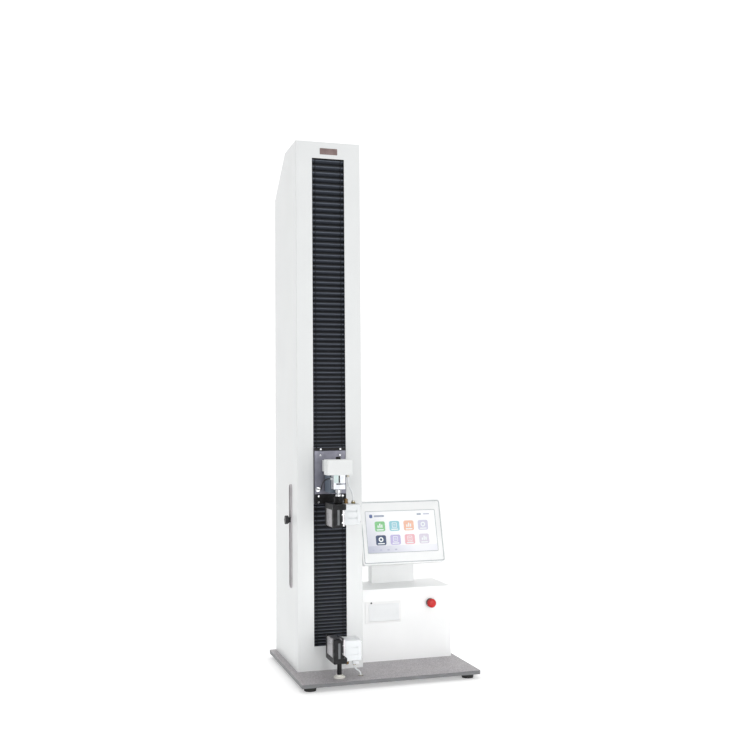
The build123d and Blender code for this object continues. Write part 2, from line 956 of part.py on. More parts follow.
# Ball joint between the cell and the adaptor
joint_bottom = cell_bottom - joint_height
with BuildPart() as cell_joint:
    with BuildSketch(Plane.XZ.offset(-axis_y)):
        with BuildLine():
            Polyline(
                (axis_x, joint_bottom),
                (axis_x + joint_radius, joint_bottom),
                (axis_x + joint_radius, joint_bottom + joint_flange),
                (axis_x + joint_ball_radius, joint_bottom + joint_flange + joint_slope),
                (axis_x + joint_ball_radius, joint_bottom + joint_flange + 2 * joint_slope),
                (axis_x + joint_radius, joint_bottom + joint_flange + 3 * joint_slope),
                (axis_x + joint_radius, cell_bottom - joint_edge),
                (axis_x + joint_radius - joint_edge, cell_bottom),
                (axis_x, cell_bottom),
                close=True,
            )
        make_face()
    revolve(axis=Axis((axis_x, axis_y, 0), UP))
save(cell_joint.part, "cell_joint")

# Adaptor with its cross pin and the stud that enters the upper grip
upper_grip_face = joint_bottom - adaptor_height
with BuildPart() as cell_adaptor:
    disc((axis_x, axis_y, upper_grip_face), UP, adaptor_radius, adaptor_height)
    chamfer(cell_adaptor.edges().filter_by(GeomType.CIRCLE), length=adaptor_edge)
    disc((axis_x, axis_y, upper_grip_face), DOWN, stud_radius, stud_length)
    pin_reach = adaptor_radius + adaptor_pin_end
    pin_start = (axis_x, axis_y - pin_reach, upper_grip_face + adaptor_height / 2)
    disc(pin_start, BACK, adaptor_pin_radius, 2 * pin_reach)
save(cell_adaptor.part, "cell_adaptor")

# Pneumatic grips. A grip is described by its bridge face and by the way its jaws open
lower_grip_face = base_top + lower_grip_height
cheek_inner = grip_half_depth - cheek_thickness


def span(face, opens, start, end):
    """The height range from start to end above a grip's bridge face, in the way it opens."""
    return tuple(sorted((face + opens * start, face + opens * end)))


def grip_frame(face, opens):
    """A bridge with a cheek in front and one behind, bored for the stud or the post."""
    with BuildPart() as frame:
        slab(
            (axis_x - grip_left, axis_x + grip_right),
            (axis_y - grip_half_depth, axis_y + grip_half_depth),
            span(face, opens, 0, bridge_height),
        )
        for outer, inner in ((-grip_half_depth, -cheek_inner), (cheek_inner, grip_half_depth)):
            slab(
                (axis_x - grip_left, axis_x - cheek_right),
                (axis_y + outer, axis_y + inner),
                span(face, opens, bridge_height, grip_height),
            )
        for corner in (0, -1):
            left_edges = frame.edges().filter_by(Axis.Z).group_by(Axis.X)[0]
            chamfer(left_edges.sort_by(Axis.Y)[corner], length=grip_edge)
        free_faces = frame.faces().filter_by(Plane.XY).group_by(Axis.Z)[-1 if opens > 0 else 0]
        lead_edges = free_faces.edges().filter_by(Axis.Y).group_by(Axis.X)[-1]
        chamfer(lead_edges, length=jaw_lead)
        disc((axis_x, axis_y, face), (0, 0, opens), post_radius + fit, bridge_height, Mode.SUBTRACT)
    return frame


def fixed_jaw(face, opens):
    """The bright jaw between the cheeks, its face on the test axis."""
    with BuildPart() as jaw:
        slab(
            (axis_x - grip_left, axis_x - seat_gap),
            around(axis_y, 2 * (cheek_inner - seat_gap)),
            span(face, opens, bridge_height, grip_height),
        )
        free_faces = jaw.faces().filter_by(Plane.XY).group_by(Axis.Z)[-1 if opens > 0 else 0]
        chamfer(free_faces.edges().filter_by(Axis.Y), length=jaw_lead)
    return jaw


def moving_jaw(face, opens):
    """The jaw plate and the rod that pushes it."""
    with BuildPart() as jaw:
        slab(
            (axis_x + jaw_gap, axis_x + jaw_gap + jaw_thickness),
            around(axis_y, 2 * jaw_half_depth),
            span(face, opens, bridge_height + jaw_end_gap, grip_height - jaw_end_gap),
        )
        free_faces = jaw.faces().filter_by(Plane.XY).group_by(Axis.Z)[-1 if opens > 0 else 0]
        chamfer(free_faces.edges().filter_by(Axis.Y).sort_by(Axis.X)[0], length=moving_jaw_lead)
        rod_start = (axis_x + jaw_gap + jaw_thickness, axis_y, face + opens * cylinder_centre)
        disc(rod_start, RIGHT, rod_radius, rod_length)
    return jaw


def air_cylinder(face, opens):
    """A square cylinder with end caps and grooves along its sides."""
    start = axis_x + grip_right
    barrel_depth = cylinder_depth - 2 * cap_step
    barrel_height = cylinder_height - 2 * cap_step
    middle_z = face + opens * cylinder_centre
    with BuildPart() as cylinder:
        with BuildSketch(Plane.YZ.offset(start)):
            with Locations((axis_y, middle_z)):
                RectangleRounded(barrel_depth, barrel_height, barrel_corner)
                with GridLocations(barrel_depth, groove_pitch, 2, 2):
                    Rectangle(2 * groove_depth, groove_width, mode=Mode.SUBTRACT)
        extrude(amount=cylinder_length)
        for cap_x in (start, start + cylinder_length - cap_length):
            with BuildSketch(Plane.YZ.offset(cap_x)):
                with Locations((axis_y, middle_z)):
                    RectangleRounded(cylinder_depth, cylinder_height, cap_corner)
            extrude(amount=cap_length)
        rod_hole = (start, axis_y, middle_z)
        disc(rod_hole, RIGHT, rod_radius + fit, rod_length + rod_end_gap, Mode.SUBTRACT)
    return cylinder


cylinder_near = cylinder_centre - cylinder_height / 2
for grip_name, grip_face, grip_opens in (
    ("upper", upper_grip_face, -1),
    ("lower", lower_grip_face, 1),
):
    save(grip_frame(grip_face, grip_opens).part, f"{grip_name}_grip_frame")
    save(fixed_jaw(grip_face, grip_opens).part, f"{grip_name}_fixed_jaw")
    save(moving_jaw(grip_face, grip_opens).part, f"{grip_name}_moving_jaw")
    save(air_cylinder(grip_face, grip_opens).part, f"{grip_name}_cylinder")

# Post and lock flange of the lower grip
with BuildPart() as lower_post:
    post_bottom = foot_height + seat_gap
    post_top = lower_grip_face + bridge_height - post_end_gap
    disc((axis_x, axis_y, post_bottom), UP, post_radius, post_top - post_bottom)
    chamfer(lower_post.edges().filter_by(GeomType.CIRCLE), length=post_edge)
save(lower_post.part, "lower_post")

with BuildPart() as lock_flange:
    disc((axis_x, axis_y, base_top), UP, flange_radius, flange_height)
    chamfer(lock_flange.edges().group_by(Axis.Z)[-1], length=flange_edge)
    hub_foot = (axis_x, axis_y, base_top + flange_height)
    disc(hub_foot, UP, flange_hub_radius, flange_hub_height)
    flange_bore = flange_height + flange_hub_height
    disc((axis_x, axis_y, base_top), UP, post_radius + fit, flange_bore, Mode.SUBTRACT)
save(lock_flange.part, "lock_flange")

# Air fittings and silencers: a port and a silencer on each cylinder
port_x = axis_x + port_offset
lower_cylinder_bottom = lower_grip_face + cylinder_near
upper_cylinder_top = upper_grip_face - cylinder_near
lower_hose_start = lower_cylinder_bottom - port_length
upper_hose_end = upper_cylinder_top + upper_port_length
bulkhead_x = axis_x + arm_width / 2 - bulkhead_inset
bulkhead_y = axis_y + bulkhead_back
upper_hose_start = arm_bottom - bulkhead_length


def push_fitting(x, y, z, way, length):
    """A hexagon body with a round collet where the hose enters."""
    direction = (0, 0, way)
    with BuildSketch(Plane(origin=(x, y, z), z_dir=direction)) as hexagon:
        RegularPolygon(port_radius, 6)
    extrude(hexagon.sketch, amount=length * hexagon_share)
    disc((x, y, z), direction, port_radius - collet_step, length)


def silencer(x, y, z, way):
    """A small vent silencer in two steps."""
    direction = (0, 0, way)
    disc((x, y, z), direction, port_radius - collet_step, silencer_length / 2)
    disc((x, y, z), direction, port_radius - 2 * collet_step, silencer_length)


with BuildPart() as lower_hose_fittings:
    push_fitting(port_x, axis_y, lower_cylinder_bottom, -1, port_length)
    silencer(axis_x + silencer_offset, axis_y, lower_cylinder_bottom, -1)
    disc((hose_base_x, hose_base_y, base_top), UP, grommet_radius + grommet_lip, grommet_height)
save(lower_hose_fittings.part, "lower_hose_fittings")

with BuildPart() as upper_hose_fittings:
    push_fitting(port_x, axis_y, upper_cylinder_top, 1, upper_port_length)
    silencer(axis_x + silencer_offset, axis_y, upper_cylinder_top, 1)
    disc((bulkhead_x, bulkhead_y, arm_bottom), DOWN, bulkhead_radius, bulkhead_length)
save(upper_hose_fittings.part, "upper_hose_fittings")


# Hoses and the cable: straight runs joined by arcs as large as the runs allow
def route_radii(points):
    """The radius at each corner: 0.45 of the shorter run over the tangent of half the turn."""
    radii = []
    for before, corner, after in zip(points, points[1:], points[2:]):
        into = Vector(*corner) - Vector(*before)
        out = Vector(*after) - Vector(*corner)
        half_turn = radians(into.get_angle(out)) / 2
        radii.append(0.45 * min(into.length, out.length) / tan(half_turn))
    return radii


def tube(name, points, radius):
    """A plain tube along a route. It prints its radii, its length and its volume check."""
    radii = route_radii(points)
    with BuildPart() as hose:
        with BuildLine() as route:
            FilletPolyline(*points, radius=radii)
        path = route.wires()[0]
        with BuildSketch(Plane(origin=path @ 0, z_dir=path % 0)):
            Circle(radius)
        sweep(path=path)
    share = hose.part.volume / (pi * radius**2 * path.length)
    print(name, "radii", [round(r, 1) for r in radii], "length", round(path.length, 1))
    print(name, "volume over section times length", round(share, 3))
    save(hose.part, name)


upper_hose_route = [
    (bulkhead_x, bulkhead_y, upper_hose_start),
    (bulkhead_x, bulkhead_y, upper_hose_start - 17),
    (port_x, axis_y, upper_hose_end + 17),
    (port_x, axis_y, upper_hose_end),
]
tube("upper_air_hose", upper_hose_route, hose_radius)

lower_hose_route = [
    (port_x, axis_y, lower_hose_start),
    (port_x, axis_y, lower_hose_start - 8.5),
    (hose_base_x, hose_base_y, base_top + grommet_height + 8.5),
    (hose_base_x, hose_base_y, base_top + grommet_height),
]
tube("lower_air_hose", lower_hose_route, hose_radius)

connector_tip = plate_front - connector_length
cable_route = [
    (cell_left - gland_length, axis_y, gland_height),
    (cell_left - gland_length - 9, axis_y, gland_height),
    (cell_left - gland_length - 17, axis_y + 7, gland_height - 6),
    (cell_left - gland_length - 19, axis_y + 20, gland_height - 19),
    (axis_x - connector_x, axis_y + 37, connector_z),
    (axis_x - connector_x, connector_tip, connector_z),
]
tube("cell_cable", cable_route, cable_radius)

# Round connector of the cable, screwed to the crosshead plate
with BuildPart() as cell_connector:
    socket = (axis_x - connector_x, plate_front, connector_z)
    disc(socket, FORWARD, connector_radius, connector_nut)
    disc(socket, FORWARD, connector_barrel_radius, connector_barrel)
    disc(socket, FORWARD, connector_neck_radius, connector_length)
    tip_edges = cell_connector.edges().filter_by(GeomType.CIRCLE).group_by(Axis.Y)[0]
    chamfer(tip_edges, length=connector_edge)
save(cell_connector.part, "cell_connector")

# Travel limit: a slotted bar behind the shell's slot
rail_outer_x = column_left + sheet
limit_rail_z = around(limit_middle, limit_slot_length + 2 * limit_rail_overlap)
with BuildPart() as limit_rail:
    slab(
        (rail_outer_x, rail_outer_x + limit_rail_thickness),
        around(limit_y, limit_rail_width),
        limit_rail_z,
    )
    groove_length = limit_slot_length - limit_slot_width + limit_groove
    with BuildSketch(Plane.YZ.offset(rail_outer_x)):
        with Locations((limit_y, limit_middle)):
            SlotOverall(groove_length, limit_groove, rotation=90)
    extrude(amount=limit_rail_thickness, mode=Mode.SUBTRACT)
save(limit_rail.part, "limit_rail")

# The block that slides behind the bar and carries the sensor
stop_z = base_top + limit_stop_height
with BuildPart() as limit_block:
    slab(
        (limit_block_inner, limit_block_inner + limit_block_thickness),
        (limit_y - limit_block_front, limit_y + limit_block_back),
        around(stop_z, limit_block_height),
    )
    fillet(limit_block.edges().filter_by(Axis.X), radius=limit_block_corner)
    stem_hole = (limit_block_inner, limit_y, stop_z)
    disc(stem_hole, RIGHT, knob_stem_radius + fit, limit_block_thickness, Mode.SUBTRACT)
    sensor_y = core_back + flag_depth / 2
    sensor_start = (limit_block_inner + limit_block_thickness, sensor_y, stop_z)
    disc(sensor_start, RIGHT, sensor_radius, sensor_length)
save(limit_block.part, "limit_block")

# Star knob with a neck that clamps on the bar and a stem into the block
knob_face_x = rail_outer_x - seat_gap
with BuildPart() as limit_knob:
    head_x = column_left - knob_reach
    with BuildSketch(Plane.YZ.offset(head_x)):
        with Locations((limit_y, stop_z)):
            Circle(knob_radius - knob_lobe_radius / 2)
            with PolarLocations(knob_radius - knob_lobe_radius, knob_lobes):
                Circle(knob_lobe_radius)
    extrude(amount=knob_height)
    chamfer(limit_knob.faces().sort_by(Axis.X)[0].edges(), length=knob_edge)
    neck_start = (head_x + knob_height, limit_y, stop_z)
    disc(neck_start, RIGHT, knob_neck_radius, knob_face_x - head_x - knob_height)
    stem_end = limit_block_inner + limit_block_thickness
    disc((knob_face_x, limit_y, stop_z), RIGHT, knob_stem_radius, stem_end - knob_face_x)
save(limit_knob.part, "limit_knob")

# Control box, open below and at the back, with a seam under its lid
printer_x = (box_left + printer_left, box_left + printer_left + printer_width)
printer_z = (base_top + printer_bottom, base_top + printer_bottom + printer_height)
bay_x = (printer_x[0] + bay_left, printer_x[1] - bay_right)
bay_z = (printer_z[0] + bay_bottom, printer_z[1] - bay_top)
tray_x = (bay_x[0] - bay_wall, bay_x[1] + bay_wall)
tray_z = (bay_z[0] - bay_wall, bay_z[1] + bay_wall)
estop_at = (box_left + estop_x, box_front, base_top + estop_height)
with BuildPart() as control_box:
    slab((box_left, box_right), (box_front, box_back), (base_top, box_top))
    fillet(control_box.edges().filter_by(Axis.Z).group_by(Axis.Y)[0], radius=box_bend)
    slab(
        (box_left + box_sheet, box_right - box_sheet),
        (box_front + box_sheet, box_back),
        (base_top, box_top - box_sheet),
        Mode.SUBTRACT,
    )
    slab(
        (tray_x[0] - seat_gap, tray_x[1] + seat_gap),
        (box_front, box_front + box_sheet),
        (tray_z[0] - seat_gap, tray_z[1] + seat_gap),
        Mode.SUBTRACT,
    )
    disc(estop_at, BACK, estop_body_radius + seat_gap, box_sheet, Mode.SUBTRACT)
    seam_z = box_top - lid_line_height
    with BuildSketch(Plane.XY.offset(seam_z)) as seam:
        with Locations(((box_left + box_right) / 2, (box_front + box_back) / 2)):
            Rectangle(box_width + 2, box_depth + 2)
            Rectangle(box_width - 2 * lid_line, box_depth - 2 * lid_line, mode=Mode.SUBTRACT)
    extrude(amount=lid_line, mode=Mode.SUBTRACT)
save(control_box.part, "control_box")

# Rear panel of the box, with its cut-outs and the fan's grille
module_at_x = box_left + module_x
module_z = (base_top + module_bottom, base_top + module_bottom + module_height)
valve_x = (box_right - valve_right - valve_width, box_right - valve_right)
valve_z = (base_top + valve_bottom, base_top + valve_bottom + valve_height)
port_at = ((valve_x[0] + valve_x[1]) / 2, box_back - box_sheet, (valve_z[0] + valve_z[1]) / 2)
panel_y = (box_back - box_sheet, box_back)
fan_at = (box_left + box_width / 2, base_top + fan_height)
with BuildPart() as box_rear_panel:
    slab(
        (box_left + box_sheet, box_right - box_sheet),
        panel_y,
        (base_top, box_top - box_sheet),
    )
    slab(
        around(module_at_x, module_width - 2 * module_rim),
        panel_y,
        (module_z[0] + module_rim, module_z[1] - module_rim),
        Mode.SUBTRACT,
    )
    disc(port_at, BACK, valve_port_radius + seat_gap, box_sheet, Mode.SUBTRACT)
    with BuildSketch(Plane.XZ.offset(-panel_y[1])):
        for row in range(grille_rows):
            row_rise = (row - (grille_rows - 1) / 2) * grille_pitch
            with Locations((fan_at[0], fan_at[1] + row_rise)):
                Rectangle(2 * sqrt(fan_radius**2 - row_rise**2), grille_slot)
    extrude(amount=box_sheet, mode=Mode.SUBTRACT)
save(box_rear_panel.part, "box_rear_panel")

# Mains module: an inlet with three pins and the frame of the switch
module_face = box_back + module_flange
module_inset = module_rim + seat_gap
socket_at = (module_at_x + socket_offset, (module_z[0] + module_z[1]) / 2)
rocker_at = (module_at_x - rocker_offset, (module_z[0] + module_z[1]) / 2)
with BuildPart() as power_inlet:
    slab(around(module_at_x, module_width), (box_back, module_face), module_z)
    fillet(power_inlet.edges().filter_by(Axis.Y), radius=module_corner)
    slab(
        around(module_at_x, module_width - 2 * module_inset),
        (box_back - module_depth, box_back),
        (module_z[0] + module_inset, module_z[1] - module_inset),
    )
    slab(
        around(socket_at[0], socket_width),
        (module_face - socket_depth, module_face),
        around(socket_at[1], socket_height),
        Mode.SUBTRACT,
    )
    for pin_x, pin_z in pin_places:
        slab(
            around(socket_at[0] + pin_x, pin_thickness),
            (module_face - socket_depth, module_face - pin_setback),
            around(socket_at[1] + pin_z, pin_height),
        )
    slab(
        around(rocker_at[0], rocker_width + 2 * seat_gap),
        (module_face - rocker_floor, module_face),
        around(rocker_at[1], rocker_height + 2 * seat_gap),
        Mode.SUBTRACT,
    )
save(power_inlet.part, "power_inlet")

# Rocker of the power switch, tilted to one of its two rests, on a pin across the frame
rocker_pivot_y = module_face - rocker_pivot_depth
rocker_half = rocker_height / 2 - rocker_end_gap
rocker_dip = rocker_crest - rocker_half * tan(radians(rocker_tilt))
with BuildPart() as power_switch:
    rocker_start = (rocker_at[0] - rocker_width / 2, rocker_pivot_y, rocker_at[1])
    with BuildSketch(Plane(origin=rocker_start, x_dir=BACK, z_dir=RIGHT)):
        with BuildLine():
            Polyline(
                (-rocker_root, -rocker_half),
                (rocker_crest, -rocker_half),
                (rocker_dip, 0),
                (rocker_crest, rocker_half),
                (-rocker_root, rocker_half),
                close=True,
            )
        make_face()
    extrude(amount=rocker_width)
    pin_from = (rocker_start[0] - seat_gap, rocker_pivot_y, rocker_at[1])
    disc(pin_from, RIGHT, rocker_pin_radius, rocker_width + 2 * seat_gap)
rocker_axis = Axis((rocker_at[0], rocker_pivot_y, rocker_at[1]), RIGHT)
save(power_switch.part.rotate(rocker_axis, rocker_tilt), "power_switch")

# Power supply and control board on the base plate, inside the box
supply_x = (box_left + supply_left, box_left + supply_left + supply_width)
supply_y = (box_back - supply_back - supply_depth, box_back - supply_back)
with BuildPart() as power_supply:
    slab(supply_x, supply_y, (base_top, base_top + supply_height))
    chamfer(power_supply.faces().sort_by(Axis.Z)[-1].edges(), length=supply_edge)
    slab(
        (supply_x[0] + terminal_side, supply_x[1] - terminal_side),
        (supply_y[0], supply_y[0] + terminal_depth),
        (base_top + supply_height - terminal_height, base_top + supply_height),
        Mode.SUBTRACT,
    )
save(power_supply.part, "power_supply")

board_right = box_right - board_right_gap
board_x = (board_right - board_width, board_right)
board_y = (box_front + board_margin, box_front + board_margin + board_depth)
board_bottom = base_top + board_height
with BuildPart() as control_board:
    slab(board_x, board_y, (board_bottom, board_bottom + board_thickness))
    with BuildSketch(Plane.XY.offset(base_top)):
        with Locations(((board_x[0] + board_x[1]) / 2, (board_y[0] + board_y[1]) / 2)):
            with GridLocations(board_width - 2 * standoff_inset, board_depth - 2 * standoff_inset, 2, 2):
                Circle(standoff_radius)
    extrude(amount=board_height)
    chip_z = board_bottom + board_thickness
    for chip_x, chip_y, chip_width, chip_depth, chip_height in board_chips:
        slab(
            around(board_x[0] + chip_x, chip_width),
            around(board_y[0] + chip_y, chip_depth),
            (chip_z, chip_z + chip_height),
        )
save(control_board.part, "control_board")

# Air valve on the rear panel, with its supply port through it
with BuildPart() as air_valve:
    slab(valve_x, (panel_y[0] - valve_depth, panel_y[0]), valve_z)
    chamfer(air_valve.edges().filter_by(Axis.Y), length=valve_edge)
    disc(port_at, BACK, valve_port_radius, valve_port_length)
save(air_valve.part, "air_valve")

# Panel printer: a bezel and a tray with the pins that hold the roll
bezel_front = box_front - bezel_thickness
door_axis_y = bezel_front + door_axis_depth
door_axis_z = bay_z[0] + door_thickness / 2 + door_gap
roll_at = ((bay_x[0] + bay_x[1]) / 2, box_front + roll_y, (bay_z[0] + bay_z[1]) / 2)
button_at = (printer_x[0] + printer_button_x, bezel_front, (bay_z[1] + printer_z[1]) / 2)
with BuildPart() as printer_body:
    slab(printer_x, (bezel_front, box_front), printer_z)
    fillet(printer_body.edges().filter_by(Axis.Y), radius=bezel_corner)
    chamfer(printer_body.faces().sort_by(Axis.Y)[0].edges(), length=bezel_edge)
    slab(tray_x, (box_front, box_front + bay_depth), tray_z)
    slab(bay_x, (bezel_front, box_front + bay_depth - bay_wall), bay_z, Mode.SUBTRACT)
    for pin_x, way in ((bay_x[0], RIGHT), (bay_x[1], LEFT)):
        pin_length = (bay_x[1] - bay_x[0] - roll_width) / 2 + roll_pin_overlap
        disc((pin_x, roll_at[1], roll_at[2]), way, roll_core_radius - seat_gap, pin_length)
    for pin_x, way in ((bay_x[0], LEFT), (bay_x[1], RIGHT)):
        pin_hole = (pin_x, door_axis_y, door_axis_z)
        disc(pin_hole, way, door_pin_radius + fit, door_pin_length + seat_gap, Mode.SUBTRACT)
    button_hole = printer_button_radius + seat_gap
    disc(button_at, BACK, button_hole, bezel_thickness, Mode.SUBTRACT)
save(printer_body.part, "printer_body")

# Printer door: a rounded lower edge on its hinge line and a finger recess
door_x = (bay_x[0] + door_gap, bay_x[1] - door_gap)
door_top = bay_z[1] - door_gap
with BuildPart() as printer_door:
    slab(door_x, around(door_axis_y, door_thickness), (door_axis_z, door_top))
    disc((door_x[0], door_axis_y, door_axis_z), RIGHT, door_thickness / 2, door_x[1] - door_x[0])
    for pin_x, way in ((door_x[0], LEFT), (door_x[1], RIGHT)):
        pin_at = (pin_x, door_axis_y, door_axis_z)
        disc(pin_at, way, door_pin_radius, door_gap + door_pin_length)
    recess_x = (door_x[1] - finger_right - finger_width, door_x[1] - finger_right)
    recess_y = (door_axis_y - door_thickness / 2, door_axis_y - door_thickness / 2 + finger_depth)
    recess_z = around((door_axis_z + door_top) / 2, finger_height)
    slab(recess_x, recess_y, recess_z, Mode.SUBTRACT)
save(printer_door.part, "printer_door")

with BuildPart() as paper_roll:
    roll_start = (roll_at[0] - roll_width / 2, roll_at[1], roll_at[2])
    disc(roll_start, RIGHT, roll_radius, roll_width)
    disc(roll_start, RIGHT, roll_core_radius, roll_width, Mode.SUBTRACT)
save(paper_roll.part, "paper_roll")

with BuildPart() as printer_button:
    button_start = (button_at[0], bezel_front - printer_button_proud, button_at[2])
    button_room = printer_button_travel + printer_button_stop
    button_length = printer_button_proud + bezel_thickness - button_room
    disc(button_start, BACK, printer_button_radius, button_length)
    chamfer(printer_button.edges().group_by(Axis.Y)[0], length=printer_button_edge)
save(printer_button.part, "printer_button")

# Emergency stop: a collar and contact block, and the mushroom button
block_front = box_front + estop_body_depth
stem_depth = estop_body_depth + estop_collar_height
with BuildPart() as estop_body:
    disc(estop_at, FORWARD, estop_collar_radius, estop_collar_height)
    chamfer(estop_body.faces().sort_by(Axis.Y)[0].edges(), length=estop_collar_edge)
    disc(estop_at, BACK, estop_body_radius, estop_body_depth)
    slab(
        around(estop_at[0], estop_block),
        (block_front, block_front + estop_block),
        around(estop_at[2], estop_block),
    )
    stem_mouth = (estop_at[0], box_front - estop_collar_height, estop_at[2])
    disc(stem_mouth, BACK, estop_stem_radius + fit, stem_depth, Mode.SUBTRACT)
save(estop_body.part, "estop_body")

head_back_y = box_front - estop_collar_height - estop_travel - seat_gap
head_back = (estop_at[0], head_back_y, estop_at[2])
dome_reach = estop_radius - estop_flat_radius
dome_height = estop_head_height - estop_rim_height
dome_angles = [radians(90 * step / estop_dome_steps) for step in range(estop_dome_steps + 1)]
with BuildPart() as estop_button:
    with BuildSketch(Plane(origin=head_back, x_dir=RIGHT, z_dir=DOWN)):
        with BuildLine():
            dome = [
                (estop_flat_radius + dome_reach * cos(a), estop_rim_height + dome_height * sin(a))
                for a in dome_angles
            ]
            Polyline(
                (0, 0),
                (estop_radius - estop_rim_edge, 0),
                (estop_radius, estop_rim_edge),
                *dome,
                (0, estop_head_height),
                close=True,
            )
        make_face()
    revolve(axis=Axis(head_back, FORWARD))
    disc(head_back, BACK, estop_stem_radius, stem_depth + seat_gap - estop_stem_end_gap)
save(estop_button.part, "estop_button")

# Touch screen: a tilted housing with a recess for its glass
tilt = radians(screen_tilt)
screen_up = Vector(0, sin(tilt), cos(tilt))
screen_out = Vector(0, -cos(tilt), sin(tilt))
screen_foot = Vector(box_left + screen_centre_x, box_front + screen_front_y, box_top + screen_bottom_z)
screen_middle = screen_foot + screen_up * (screen_height / 2)
screen_plane = Plane(origin=screen_middle, x_dir=(1, 0, 0), z_dir=screen_out)
with BuildPart() as monitor_housing:
    with BuildSketch(screen_plane):
        RectangleRounded(screen_width, screen_height, screen_corner)
    extrude(amount=-screen_thickness)
    back_edges = monitor_housing.faces().sort_by(Axis(screen_middle, screen_out))[0].edges()
    fillet(back_edges, radius=screen_back_edge)
    glass_width = screen_width - 2 * glass_margin
    glass_height = screen_height - 2 * glass_margin
    with BuildSketch(screen_plane):
        RectangleRounded(glass_width, glass_height, glass_corner)
    extrude(amount=-glass_thickness, mode=Mode.SUBTRACT)
save(monitor_housing.part, "monitor_housing")

with BuildPart() as monitor_glass:
    with BuildSketch(screen_plane.offset(-glass_thickness)):
        RectangleRounded(
            glass_width - 2 * seat_gap,
            glass_height - 2 * seat_gap,
            glass_corner - seat_gap,
        )
    extrude(amount=glass_thickness)
save(monitor_glass.part, "monitor_glass")


# Stand: a folded sheet, open at the back, that meets the back of the screen
def on_screen_back(height):
    """The (y, z) point on the screen's back at a height along it."""
    point = screen_foot + screen_up * height - screen_out * screen_thickness
    return (point.Y, point.Z)


stand_x = (box_left + stand_left, box_left + stand_left + stand_width)
stand_front_y = box_front + stand_front
stand_back_y = stand_front_y + stand_depth
low_point = on_screen_back(stand_low)
high_point = on_screen_back(stand_high)
stand_back_top = high_point[1] - stand_back_drop
with BuildPart() as monitor_stand:
    with BuildSketch(Plane.YZ.offset(stand_x[0])) as stand_side:
        with BuildLine():
            Polyline(
                (stand_front_y, box_top),
                (stand_front_y, box_top + stand_shoulder),
                low_point,
                high_point,
                (stand_back_y, stand_back_top),
                (stand_back_y, box_top),
                close=True,
            )
        make_face()
        shoulder_at = (stand_front_y, box_top + stand_shoulder)
        fillet(stand_side.vertices().sort_by_distance(shoulder_at)[0], radius=stand_shoulder_bend)
    extrude(amount=stand_width)
    with BuildSketch(Plane.YZ.offset(stand_x[0] + stand_wall)):
        with BuildLine():
            Polyline(
                (stand_front_y + stand_wall, box_top),
                (stand_front_y + stand_wall, stand_back_top - stand_roof),
                (stand_back_y + 1, stand_back_top - stand_roof),
                (stand_back_y + 1, box_top),
                close=True,
            )
        make_face()
    extrude(amount=stand_width - 2 * stand_wall, mode=Mode.SUBTRACT)
save(monitor_stand.part, "monitor_stand")
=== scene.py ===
# %% [markdown]
# # A single-column testing machine
# The machine pulls or presses a specimen between two air-powered grips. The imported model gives
# every rigid piece at its real place and size. This lesson sets up the view, gives each piece its
# finish, and adds what is too fine or too soft for the solids: the bellows' folds, screws, air
# fittings, the blank name plate, the page on the touch screen, hoses and the cable.

# %% Load the frame
from math import asin, cos, pi, radians, sin

import bmesh
import bpy
from mathutils import Matrix, Vector


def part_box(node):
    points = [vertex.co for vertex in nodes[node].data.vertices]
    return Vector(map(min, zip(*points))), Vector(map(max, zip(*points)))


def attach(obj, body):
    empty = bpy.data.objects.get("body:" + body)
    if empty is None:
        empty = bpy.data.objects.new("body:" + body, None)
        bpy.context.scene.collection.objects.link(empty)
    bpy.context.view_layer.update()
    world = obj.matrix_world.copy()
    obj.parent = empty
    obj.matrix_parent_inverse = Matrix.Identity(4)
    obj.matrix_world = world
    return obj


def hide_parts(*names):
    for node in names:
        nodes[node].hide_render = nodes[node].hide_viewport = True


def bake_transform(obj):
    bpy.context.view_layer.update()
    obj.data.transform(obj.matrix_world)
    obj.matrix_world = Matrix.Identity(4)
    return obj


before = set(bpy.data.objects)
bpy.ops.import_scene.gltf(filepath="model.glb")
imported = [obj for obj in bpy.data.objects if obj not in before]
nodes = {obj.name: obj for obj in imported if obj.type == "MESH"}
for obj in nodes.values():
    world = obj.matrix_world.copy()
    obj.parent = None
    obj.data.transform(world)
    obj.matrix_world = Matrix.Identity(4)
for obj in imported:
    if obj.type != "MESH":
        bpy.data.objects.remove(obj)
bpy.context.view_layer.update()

MM = 0.001
scene = bpy.context.scene

# %% [markdown]
# ## The camera
# A product photograph of a tall machine is taken from some distance, so that its upright edges
# stay parallel. Here the camera stands 2.7 m in front and 0.8 m to the left, a little above the
# crosshead. A camera can be aimed by a Track To constraint, or by writing its axes as a matrix.
# The matrix is chosen because it can also hold the small roll of the real camera.

# %% Camera
CAMERA_AT = Vector((-0.8138, -2.7444, 0.676))
CAMERA_YAW = radians(16.91)
CAMERA_PITCH = radians(2.71)
CAMERA_ROLL = radians(-0.45)
SENSOR_WIDTH, FOCAL_LENGTH = 36, 48.95  # both in millimetres


def camera_axes(yaw, pitch, roll):
    """The camera's right, up and backward directions."""
    forward = Vector((sin(yaw) * cos(pitch), cos(yaw) * cos(pitch), sin(pitch)))
    level_right = Vector((cos(yaw), -sin(yaw), 0))
    level_up = level_right.cross(forward)
    right = level_right * cos(roll) + level_up * sin(roll)
    up = level_up * cos(roll) - level_right * sin(roll)
    return right, up, -forward


